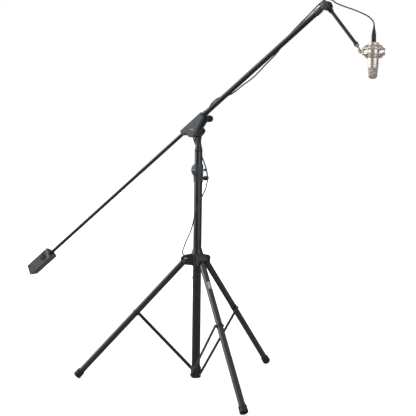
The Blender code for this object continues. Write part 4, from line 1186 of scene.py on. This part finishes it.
def shell_outline(grow, corner_center, corner_radius):
    """The cradle from its side, offset outwards by grow: body, fillet, clutch lobe and web."""
    corner, fillet = 0.0055, 0.0045
    top, low = BOOM_LIFT + CRADLE_HALF, BOOM_LIFT - CRADLE_HALF
    right, left = CRADLE_END, CRADLE_START
    hollow = Vector((0, low - fillet))
    hollow.x = -math.sqrt((CLUTCH_R + fillet) ** 2 - hollow.y ** 2)
    inward = math.degrees(math.atan2(-hollow.y, -hollow.x))
    bearing = math.atan2(corner_center[1], corner_center[0])
    reach = math.hypot(*corner_center)
    tangent = 360 + math.degrees(bearing - math.acos((CLUTCH_R - corner_radius) / reach))
    return (arc((right - corner, top - corner), corner + grow, 0, 90, 6)
            + arc((left + corner, top - corner), corner + grow, 90, 180, 6)
            + arc((left + corner, low + corner), corner + grow, 180, 270, 6)
            + arc(hollow, fillet - grow, 90, inward, 6)
            + arc((0, 0), CLUTCH_R + grow, 180 + inward, tangent, 44)
            + arc(corner_center, corner_radius + grow, tangent, 360, 8))


def shell_half(corner_center, corner_radius, front, back, front_rim, back_rim=0.0008):
    """Half a cradle shell between two planes across Y, its rims rounded."""
    layers = []
    for rim, plane, sign in ((front_rim, front, 1), (back_rim, back, -1)):
        rows = []
        for k in range(9):
            angle = math.pi / 2 * k / 8
            grow = -rim * (1 - math.sin(angle))
            y = plane + sign * rim * (1 - math.cos(angle))
            rows.append([(x, y, z) for x, z in shell_outline(grow, corner_center, corner_radius)])
        layers += rows if sign > 0 else rows[::-1]
    return stacked(layers)


def make_cradle(m):
    """The two moulded half shells, their screws, the split sleeve and the clamp's knob."""
    groove = TUBE_R + GAP
    tunnel = box(0, groove, CRADLE_START - 0.02, CRADLE_END + 0.02)
    bore = move(0, BOOM_Y, BOOM_LIFT) @ X_UP
    front = BOOM_Y - 0.018
    rear_half = shell_half((CLAMP_ALONG, CLAMP_LIFT), CLAMP_EAR_R, BOOM_Y + GAP, SEAM_Y, 0.0008)
    front_half = shell_half((CRADLE_END - 0.005, BOOM_LIFT - CRADLE_HALF + 0.005), 0.005, front,
                            BOOM_Y - GAP, 0.0042)
    # The rear half takes the darker copy of the moulding's colour: painted shade.
    rear = piece("clutch_shell_rear", rear_half, m["shell_rear_painted_shade"], "cradle",
                 ("boom_saddle",), BOOM_FRAME)
    carve(rear, placed(lathe(tunnel, edge=0), bore))
    cover = piece("clutch_shell_front", front_half, m["shell"], "cradle",
                  ("boom_cover",), BOOM_FRAME)
    carve(cover, placed(lathe(tunnel, edge=0), bore))
    screws = []
    for x, z in ((0.039, 0.014), (0.086, BOOM_LIFT), (-0.041, BOOM_LIFT)):
        head = lathe([(0, 0.001), (0.0027, 0.001), (0.003, -0.0006), (0.0022, -0.0012),
                      (0.0012, -0.0012), (0.001, -0.0002), (0, -0.0002)], 32, edge=0.0)
        screws.append(placed(head, move(x, front, z) @ Y_UP))
    piece("clutch_screws", together(*screws), m["knob"], "cradle", place=BOOM_FRAME)
    badge = placed(badge_mesh(0.015, 0.0042), move(0.01, front, 0.0015) @ turn_y(BOOM_TILT))
    piece("clutch_badge", badge, m["badge"], "cradle", place=BOOM_FRAME)
    make_clamp_knob(m)


def badge_mesh(width, height):
    """A blank name plate with rounded ends, lying just proud of the plane y = 0 towards -Y."""
    outline = soften(box(-width / 2, width / 2, -height / 2, height / 2), height * 0.4, 4, True)
    return plate(outline, -0.0004, 0.0004, 0.0002)


def make_clamp_knob(m):
    """The ring after the shells, and the clamp's knob behind the shells' ear."""
    start = CRADLE_END + GAP
    groove = TUBE_R + GAP
    ring = [(groove, start), (0.0122, start), (0.0127, start + 0.001), (0.0127, start + 0.006),
            (0.0123, start + 0.0066), (0.0123, start + 0.0094), (0.0127, start + 0.01),
            (0.0127, start + 0.015), (0.0122, start + 0.016), (groove, start + 0.016)]
    piece("boom_clamp_sleeve", lathe(ring, edge=0.0004), m["neck"], "cradle", ("boom_sleeve",),
          BOOM_FRAME @ move(0, BOOM_Y, BOOM_LIFT) @ X_UP)
    at = BOOM_FRAME @ move(CLAMP_ALONG, 0, CLAMP_LIFT) @ Y_UP
    flange = lathe([(0, SEAM_Y + GAP), (0.0098, SEAM_Y + GAP), (0.0098, -0.0238), (0.0068, -0.0232),
                    (0, -0.0232)], 48, edge=0.0003)
    piece("boom_knob_stem", flange, m["zinc"], "boom_knob", place=at)
    knob = knob_mesh(0.0045, -0.0236, -0.0222, 0.0035, 0.015, 10, 0.1)
    piece("boom_knob_grip", knob, m["knob"], "boom_knob", ("boom_knob",), at)


# ---------------------------------------------------------------- boom

def make_boom(m):
    """The boom's tube and rod, then its weight and its end swivel."""
    along = BOOM_LINE @ X_UP
    tube = box(0.0083, TUBE_R, TUBE_START, TUBE_END)
    piece("boom_outer_tube", lathe(tube), m["boom"], "boom", ("boom_tube",), along)
    rod = box(0.0065, ROD_R, ROD_START, ROD_END)
    piece("boom_inner_rod", lathe(rod), m["boom"], "rod", ("boom_rod",), along)
    make_weight(m)
    make_tip(m)


def weight_section(shrink, groove):
    """The weight's section as (side, lift), drawn in by shrink, with grooves along two faces."""
    grooves = {0: 5, 4: 3}  # by face: the front and the underside
    points = []
    for face, start in enumerate(WEIGHT_SECTION):
        start = Vector(start)
        run = Vector(WEIGHT_SECTION[(face + 1) % len(WEIGHT_SECTION)]) - start
        inward = Vector((-run.y, run.x)).normalized()
        chamfer = 0.0012 / run.length
        points.append(start + run * chamfer)
        count = grooves.get(face, 0)
        half = 0.0024 / run.length
        for i in range(count):
            middle = (i + 0.8) / (count + 0.6)
            points += [start + run * (middle - half), start + run * middle + inward * groove,
                       start + run * (middle + half)]
        points.append(start + run * (1 - chamfer))
    scale = 1 - shrink / 0.026
    return [(-x * scale, y * scale) for x, y in points]


def make_weight(m):
    """The cast weight: a five-sided block with grooves, a slotted edge and a pocket for its screw."""
    low, high = WEIGHT_START, WEIGHT_END
    band_low = high - 0.0145
    stations = [(low, 0.0012, 0.0034), (low + 0.0004, 0.0004, 0.004), (low + 0.0014, 0, 0.0042),
                (band_low - 0.0012, 0, 0.0042), (band_low, 0, 0), (high - 0.0014, 0, 0),
                (high - 0.0004, 0.0004, 0), (high, 0.0012, 0)]
    layers = [[(x, side, lift) for side, lift in weight_section(shrink, groove)]
              for x, shrink, groove in stations]
    weight = piece("weight_casting", stacked(layers), m["weight"], "weight",
                   ("counterweight",), BOOM_LINE)
    bore = ROD_R + GAP
    recess = 0.012
    hollow = lathe([(0, low - 0.01), (bore, low - 0.01), (bore, high - 0.0035), (recess, high - 0.0035),
                    (recess, high + 0.01), (0, high + 0.01)], 64, edge=0)
    pocket = lathe([(0, 0.0137), (0.0168, 0.0137), (0.0178, 0.0147), (0.0178, 0.04), (0, 0.04)], 64,
                   edge=0)
    slot = plate(box(high - 0.042, high - 0.022, 0.02, 0.0272),
                 -0.04, -0.007, 0)
    carve(weight, placed(hollow, X_UP))
    carve(weight, placed(pocket, move(WEIGHT_SCREW, 0, WEIGHT_SCREW_LIFT) @ Y_DOWN))
    carve(weight, slot)
    make_thumb_screw(m)


def make_thumb_screw(m):
    """A winged screw, bent like an S, in the weight's pocket."""
    at = BOOM_LINE @ move(WEIGHT_SCREW, 0, WEIGHT_SCREW_LIFT) @ Y_DOWN
    hub = lathe([(0, 0.0139), (0.003, 0.0139), (0.003, 0.0158), (0.006, 0.016), (0.006, 0.018),
                 (0.0044, 0.019), (0.004, 0.0262), (0.003, 0.027), (0, 0.027)], 48)
    path = [(-0.015, 0.004), (-0.0125, 0.0012), (-0.008, -0.0008), (-0.004, -0.0006), (0, 0),
            (0.004, 0.0006), (0.008, 0.0008), (0.0125, -0.0012), (0.015, -0.004)]
    wing = band([(x, y, 0.0205) for x, y in path], (0, 0, 1), 0.007, 0.0064, closed=False)
    turned = Matrix.Rotation(math.radians(75), 4, "Z")
    piece("weight_thumb_screw", together(hub, placed(wing, turned)), m["screw"], "weight_knob",
          ("weight_knob",), at)


def make_tip(m):
    """The boom's end swivel: a socket on the tube and a crowned disc with a raised rim."""
    radius = TIP_R
    disc = [(0, 0.0), (0.006, 0.0001), (0.012, 0.0009), (0.0148, 0.0018), (0.0156, 0.0006),
            (0.0168, 0.0004), (radius - 0.0006, 0.0022), (radius, 0.0032), (radius, 0.0228),
            (radius - 0.0008, 0.0235), (0, 0.0235)]
    disc = [(r, z - 0.0008) if z < 0.01 else (r, z) for r, z in disc]
    at = move(TIP, BOOM_Y - 0.014, BOOM_LIFT) @ Y_UP
    socket = [(TUBE_R + GAP, 0.79), (0.0128, 0.79), (0.0137, 0.791), (0.0137, 0.796), (0.0131, 0.7966),
              (0.0131, 0.815), (0.0105, 0.823), (0.009, 0.833), (0, 0.833), (0, TUBE_END + GAP),
              (TUBE_R + GAP, TUBE_END + GAP)]
    parts = [placed(lathe(disc, edge=0.0005), at),
             placed(lathe_open(socket), move(0, BOOM_Y, BOOM_LIFT) @ X_UP)]
    piece("tip_disc", together(*parts), m["tip"], "boom", ("tip_body",), BOOM_FRAME)


def lathe_open(profile):
    """A cup: a profile that meets the axis inside, turned as one closed solid."""
    start = [radius for radius, _ in profile].index(0)
    ordered = profile[start + 1:] + profile[:start + 1]
    return lathe(ordered, edge=0.0004)


# ---------------------------------------------------------------- mini boom and microphone

def make_mini_boom(m):
    """The tip swivel's outer half, the mini boom, its knob and its end fitting."""
    disc = [(0, -0.0342), (TIP_R - 0.001, -0.0342), (TIP_R, -0.033), (TIP_R, -0.015),
            (TIP_R - 0.0015, -0.013), (0.012, -0.0122), (0, -0.0122)]
    socket = [(0, 0.01), (0.0112, 0.01), (0.0112, 0.019), (0.0102, 0.025), (0.0094, 0.032),
              (0.0074, 0.0326), (0.0074, 0.0205), (0, 0.0205)]
    parts = [placed(lathe(disc), Y_UP), placed(lathe(socket, edge=0.0008), move(0, MINI_Y, 0) @ X_UP)]
    piece("tip_hinge", together(*parts), m["neck"], "mini_boom", ("tip_clamp",), MINI_FRAME)
    tube = [(0, 0.0208), (MINI_R, 0.0208), (MINI_R, MINI_LENGTH - 0.008), (0.0082, MINI_LENGTH - 0.006),
            (0.0082, MINI_LENGTH - 0.001), (0.0102, MINI_LENGTH), (0.0102, MINI_LENGTH + 0.0034),
            (0.009, MINI_LENGTH + 0.0038), (0.004, MINI_LENGTH + 0.0038), (0.004, MINI_LENGTH + 0.013),
            (0, MINI_LENGTH + 0.013)]
    piece("mini_boom_tube", lathe(tube, edge=0.0005), m["boom"], "mini_boom", ("mini_boom",),
          MINI_FRAME @ move(0, MINI_Y, 0) @ X_UP)
    knob = knob_mesh(0.004, -0.0119, -0.0095, 0.008, 0.009, 8, 0.12, 0.0008)
    piece("tip_knob_grip", knob, m["knob"], "tip_knob", ("tip_knob",), MINI_FRAME @ Y_UP)
    make_swivel(m)


def make_swivel(m):
    """A knurled nut, a bent nickel arm and the fork that holds the cage's tongue."""
    start = MINI_LENGTH + 0.0042
    nut = lathe([(0.0043, start), (0.008, start), (0.0088, start + 0.0008), (0.0088, start + 0.007),
                 (0.008, start + 0.0078), (0.006, start + 0.0082), (0.0043, start + 0.0082)], 120,
                knurled(30, 0.035, 0.0085), edge=0.0)
    rise = MINI_FRAME.inverted() @ KNUCKLE
    root = Vector((start + 0.006, MINI_Y, 0))
    bend = Vector((start + 0.019, MINI_Y, -0.0015))
    fork = Vector((rise.x - 0.008, MINI_Y, rise.z - 0.002))
    arm = smooth_route([root, root.lerp(bend, 0.5), bend, fork], 0.0015)
    radii = [0.0046 + 0.001 * math.cos(2 * math.pi * i / (len(arm) - 1)) for i in range(len(arm))]
    parts = [placed(nut, move(0, MINI_Y, 0) @ X_UP), sweep(arm, radii, 28)]
    for low in (-0.0068, 0.0034):
        cheek = lathe(box(0, 0.0066, low, low + 0.0034), 48, edge=0.0008)
        parts.append(placed(cheek, move(rise.x, MINI_Y, rise.z) @ Y_UP))
        back = plate(soften([(rise.x - 0.01, rise.z - 0.0062), (rise.x, rise.z - 0.0062),
                             (rise.x, rise.z + 0.0058),
                             (rise.x - 0.01, rise.z + 0.003)], 0.002, 3, True), MINI_Y + low,
                             MINI_Y + low + 0.0034)
        parts.append(back)
    bridge = plate(soften([(rise.x - 0.0125, rise.z - 0.006), (rise.x - 0.0072, rise.z - 0.0062),
                           (rise.x - 0.0072, rise.z + 0.0035), (rise.x - 0.0125, rise.z + 0.003)], 0.002,
                           3, True),
                   MINI_Y - 0.0068, MINI_Y + 0.0068, 0.0012)
    screw = placed(lathe([(0, -0.0078), (0.0034, -0.0078), (0.0036, -0.007), (0.0036, -0.0066),
                          (0.0024, -0.0066), (0.0024, 0.0066), (0.0042, 0.0066), (0.0042, 0.0076),
                          (0.003, 0.0086), (0, 0.0086)], 40,
                         edge=0.0002), move(rise.x, MINI_Y, rise.z) @ Y_UP)
    parts += [bridge, screw]
    # The swivel's darker, browner nickel is painted shade.
    piece("microphone_swivel", together(*parts), m["swivel"], "mini_boom", ("mic_swivel",),
          MINI_FRAME)


def ring_mesh(radius, wire, z, around=96, sides=14):
    points = [polar(radius, 2 * math.pi * i / around, z)
              for i in range(around)]
    return sweep(points, wire, sides, closed=True)


def make_microphone(m):
    """The microphone's turned body, its grille and its shock mount."""
    body = [(0, MIC_JOIN), (MIC_R - 0.0008, MIC_JOIN), (MIC_R, MIC_JOIN + 0.001), (MIC_R, MIC_JOIN + 0.006),
            (MIC_R - 0.0006, MIC_JOIN + 0.0066), (MIC_R - 0.0006, MIC_JOIN + 0.008),
            (MIC_R, MIC_JOIN + 0.0086), (MIC_R, MIC_TOP - 0.013), (MIC_R - 0.0006, MIC_TOP - 0.0124),
            (MIC_R - 0.0006, MIC_TOP - 0.0108), (MIC_R, MIC_TOP - 0.0102), (MIC_R, MIC_TOP - 0.0062),
            (MIC_R - 0.002, MIC_TOP - 0.0024), (MIC_R - 0.0052, MIC_TOP - 0.0008), (0.0128, MIC_TOP),
            (0, MIC_TOP)]
    piece("microphone_body", lathe(body, 128, edge=0.0004), m["nickel"], "mic",
          ("mic_body",), MIC_FRAME)
    make_grille(m)
    make_cage(m)


def grille_radius(z):
    """The grille's outer radius at a height: a slight taper, then a rounded end."""
    top, shoulder = MIC_JOIN - GAP, MIC_LOW + 0.015
    if z >= shoulder:
        return MIC_R - 0.0012 - 0.0022 * (top - z) / (top - shoulder)
    share = (shoulder - z) / (shoulder - MIC_LOW)
    return (MIC_R - 0.0034) * max(0.0, 1 - share ** 2.4) ** 0.5


def make_grille(m):
    """A dark backing under a woven nickel mesh, with a band at the top and a bar down each side."""
    levels = [MIC_LOW + 0.0006 + (MIC_JOIN - GAP - MIC_LOW - 0.0006) * i / 30 for i in range(31)]
    wall = [(max(0.001, grille_radius(z) - 0.0009), z) for z in levels]
    backing = [(0, levels[0]), *wall, (0, levels[-1])]
    piece("grille_backing", lathe(backing, 64, edge=0.0), m["mesh_back"], "mic",
          place=MIC_FRAME)
    wires = []
    count, steps = 40, 44
    low, high = MIC_LOW + 0.0012, MIC_JOIN - 0.003
    for direction in (1, -1):
        for i in range(count):
            path = []
            for k in range(steps + 1):
                z = high - (high - low) * (k / steps) ** 0.9
                angle = 2 * math.pi * i / count + direction * 1.1 * k / steps
                weave = 0.00022 * math.cos(math.pi * (k + i) * 0.5) * direction
                r = grille_radius(z) + weave - 0.0002
                path.append(polar(r, angle, z))
            wires.append(sweep(path, 0.00034, 5))
    piece("grille_mesh", together(*wires), m["grille"], "mic", ("mic_grille",), MIC_FRAME)
    top = box(MIC_R - 0.004, MIC_R - 0.0002, MIC_JOIN - 0.0034, MIC_JOIN - GAP)
    parts = [lathe(top, edge=0.0004)]
    for turn in (math.radians(37), math.radians(217)):
        path = []
        for i in range(25):
            z = MIC_JOIN - 0.003 - (MIC_JOIN - 0.003 - MIC_LOW - 0.0004) * math.sin(math.pi / 2 * i / 24)
            path.append((grille_radius(z), 0, z))
        rail = band(path, (0, 1, 0), 0.003, 0.0009, closed=False)
        parts.append(placed(rail, turn_z(turn)))
    piece("grille_frame", together(*parts), m["nickel"], "mic", place=MIC_FRAME)


PETAL_ROOT_R = 0.0288
BALL_R = 0.0032  # at the ends of each post


def make_cage(m):
    """The spider: two wire hoops with hooked posts, an inner clamp and the laced elastic."""
    hoop_r, wire = CAGE_R - 0.0006, 0.0021
    parts = [ring_mesh(hoop_r, wire, CAGE_TOP), ring_mesh(hoop_r, wire, CAGE_LOW)]
    for i in range(4):
        angle = math.radians(45 + 90 * i)
        post = sweep([(hoop_r, 0, CAGE_LOW - 0.002), (hoop_r + 0.0012, 0, CAGE_MIDDLE),
                      (hoop_r, 0, CAGE_TOP + 0.002)], 0.002, 16)
        ball = lathe([(0, -BALL_R)] + arc((0, 0), BALL_R, -75, 75, 8) + [(0, BALL_R)], 24, edge=0.0)
        other = placed(ball.copy(), move(hoop_r, 0, CAGE_LOW - 0.002))
        placed(ball, move(hoop_r, 0, CAGE_TOP + 0.002))
        parts.append(placed(together(post, ball, other), turn_z(angle)))
    for i in range(8):
        angle = math.radians(22.5 + 45 * i)
        for z in (CAGE_TOP, CAGE_LOW):
            inward = 1 if z == CAGE_TOP else -1
            hook = sweep([(hoop_r, 0, z), (hoop_r - 0.0022, 0, z + inward * 0.002),
                          (hoop_r - 0.0046, 0, z + inward * 0.0012),
                          (hoop_r - 0.0052, 0, z - inward * 0.0014)],
                         [0.0012, 0.0012, 0.0011, 0.001], 10)
            parts.append(placed(hook, turn_z(angle)))
    for sign in (1, -1):
        petal = []
        for i in range(160):
            angle = 2 * math.pi * i / 160
            share = 0.5 + 0.5 * math.cos(4 * angle)
            reach = PETAL_ROOT_R + (hoop_r - PETAL_ROOT_R) * share ** 0.7
            rise = 0.0045 + 0.021 * (1 - share)
            petal.append(polar(reach, angle, CAGE_MIDDLE + sign * rise))
        parts.append(sweep(petal, 0.0015, 12, closed=True))
    tongue_x, tongue_z = KNUCKLE.x - MIC_X, KNUCKLE.z
    parts.append(sweep([(-hoop_r, 0, CAGE_LOW), (-hoop_r - 0.0006, 0, tongue_z), (-hoop_r, 0, CAGE_TOP)],
                       0.0026, 16))
    outline = (arc((tongue_x, tongue_z), 0.006, 90, 270, 16)
               + [(-hoop_r, tongue_z - 0.0048), (-hoop_r, tongue_z + 0.0048)])
    parts.append(plate(outline, -0.003, 0.003, 0.0008))
    piece("shock_cage", together(*parts), m["nickel"], "mic", ("shock_outer",), MIC_FRAME)
    make_clamp(m)


def make_clamp(m):
    """The clamp round the microphone, its lacing studs and the laced elastic."""
    inner, rim = MIC_R + GAP, 0.0262
    low, high = CAGE_MIDDLE - 0.026, CAGE_MIDDLE + 0.026
    profile = [(inner, low), (rim - 0.0012, low), (rim, low + 0.001), (rim, low + 0.0026),
               (0.0236, low + 0.004), (0.0232, low + 0.006), (0.0232, high - 0.006), (0.0236, high - 0.004),
               (rim, high - 0.0026), (rim, high - 0.001), (rim - 0.0012, high), (inner, high)]
    parts = [lathe(profile, edge=0.0004)]
    stud_profile = [(0, 0.025), (0.0016, 0.025), (0.0016, 0.0275), (0.0024, 0.0284), (0.0018, 0.0293),
                    (0, 0.0296)]
    for i in range(8):
        angle = math.radians(45 * i)
        for z in (low + 0.0018, high - 0.0018):
            stud = lathe(stud_profile, 20, edge=0.0)
            parts.append(placed(placed(stud, X_UP), turn_z(angle) @ move(0, 0, z)))
    piece("shock_clamp", together(*parts), m["nickel"], "mic", ("shock_inner",), MIC_FRAME)
    loops = []
    far, near = CAGE_R - 0.0046, rim + 0.0016
    for z_far, z_near in ((CAGE_TOP - 0.0012, high - 0.003), (CAGE_LOW + 0.0012, low + 0.003)):
        points = []
        steps = 192
        for i in range(steps):
            angle = 2 * math.pi * i / steps
            wave = 0.5 - 0.5 * math.cos(8 * angle)
            share = wave * wave * (3 - 2 * wave)
            radius = near + (far - near) * share
            z = z_near + (z_far - z_near) * share
            points.append(polar(radius, angle, z))
        loops.append(sweep(points, 0.0016, 12, closed=True))
    piece("elastic_lacing", together(*loops), m["elastic"], "mic", ("shock_elastic",), MIC_FRAME)


# ---------------------------------------------------------------- stage

FLOOR_LIFT = 0.62  # brightness added to the floor where the camera sees it


FLOOR_HALF = 14.0


def make_floor():
    """A pale floor that fades into the backdrop away from the object, and lights nothing."""
    bm = bmesh.new()
    corners = box(-FLOOR_HALF, FLOOR_HALF, -FLOOR_HALF, FLOOR_HALF)
    bm.faces.new([bm.verts.new((x, y, FLOOR_Z)) for x, y in corners])
    mesh = to_mesh("floor", bm)
    n = Nodes("pale_floor")
    n.set(Base_Color=(0.86, 0.86, 0.86, 1), Roughness=0.7, Specular_IOR_Level=0.1)
    distance = n.node("ShaderNodeVectorMath", operation="LENGTH")
    n.link(n.coordinates, distance.inputs[0])
    limits = {"From Min": 0.9, "From Max": 2.6}
    fade = n.node("ShaderNodeMapRange", limits, interpolation_type="SMOOTHSTEP")
    n.link(distance.outputs["Value"], fade.inputs["Value"])
    glow = n.node("ShaderNodeEmission").outputs["Emission"]
    near_and_far = n.choose(fade.outputs["Result"], n.shader.outputs["BSDF"], glow)
    lift = n.node("ShaderNodeEmission", {"Strength": FLOOR_LIFT})
    lifted = n.node("ShaderNodeAddShader")
    n.link(near_and_far, lifted.inputs[0])
    n.link(lift.outputs["Emission"], lifted.inputs[1])
    dull = n.node("ShaderNodeBsdfDiffuse", {"Color": (0.35, 0.35, 0.35, 1)}).outputs["BSDF"]
    seen = n.node("ShaderNodeLightPath").outputs["Is Camera Ray"]
    surface = n.choose(seen, dull, lifted.outputs["Shader"])
    n.link(surface, n.tree.nodes["Material Output"].inputs["Surface"])
    mesh.materials.append(n.material)
    link_object("floor", mesh)


SOFTBOXES = [
    # direction the light comes from, width as a cosine, brightness
    ((-0.93, -0.33, 0.2), 0.72, 2.5),
    ((0.93, -0.3, 0.2), 0.85, 1.5),
    ((0.1, 0.15, 0.98), 0.7, 0.55),
]
ROOM_LIGHT = 0.05


def make_world():
    """A white backdrop for the camera; soft boxes in a dim room for everything else."""
    world = bpy.data.worlds.new("studio")
    bpy.context.scene.world = world
    world.use_nodes = True
    n = Tree(world.node_tree)
    n.tree.nodes.clear()
    direction = n.node("ShaderNodeTexCoord").outputs["Generated"]
    total = None
    for toward, edge, brightness in SOFTBOXES:
        dot = n.node("ShaderNodeVectorMath", {1: Vector(toward).normalized()}, operation="DOT_PRODUCT")
        n.link(direction, dot.inputs[0])
        limits = {"From Min": edge - 0.1, "From Max": min(1.0, edge + 0.08), "To Max": brightness}
        soft = n.node("ShaderNodeMapRange", limits, interpolation_type="SMOOTHSTEP")
        n.link(dot.outputs["Value"], soft.inputs["Value"])
        add = n.node("ShaderNodeMath", operation="ADD")
        n.link(soft.outputs["Result"], add.inputs[0])
        if total is None:
            add.inputs[1].default_value = ROOM_LIGHT
        else:
            n.link(total, add.inputs[1])
        total = add.outputs["Value"]
    room = n.node("ShaderNodeBackground", {"Color": (0.97, 0.985, 1.0, 1)})
    n.link(total, room.inputs["Strength"])
    backdrop = n.node("ShaderNodeBackground", {"Color": (1, 1, 1, 1)})
    seen = n.node("ShaderNodeLightPath").outputs["Is Camera Ray"]
    surface = n.choose(seen, room.outputs["Background"], backdrop.outputs["Background"])
    n.link(surface, n.node("ShaderNodeOutputWorld").inputs["Surface"])


def add_area(name, place, target, size, power):
    """A rectangular lamp aimed at a point."""
    data = bpy.data.lights.new(name, "AREA")
    data.shape = "RECTANGLE"
    data.size, data.size_y = size
    data.energy = power
    light = link_object(name, data)
    light.location = place
    light.rotation_mode = "QUATERNION"
    light.rotation_quaternion = (Vector(target) - Vector(place)).to_track_quat("-Z", "Y")


def make_lights():
    add_area("key_light", (-2.6, -2.4, 2.6), (0, 0, 0.8), (1.2, 1.8), 20)
    add_area("fill_light", (3.4, -1.6, 2.0), (0.2, 0, 0.9), (1.6, 1.6), 6)


def main():
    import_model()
    bpy.context.scene.view_settings.view_transform = "Standard"
    m = make_materials()
    make_camera()
    make_cable(m)
    make_tripod(m)
    make_mast(m)
    make_head(m)
    make_cradle(m)
    make_boom(m)
    make_mini_boom(m)
    make_microphone(m)
    make_floor()
    make_world()
    make_lights()


main()
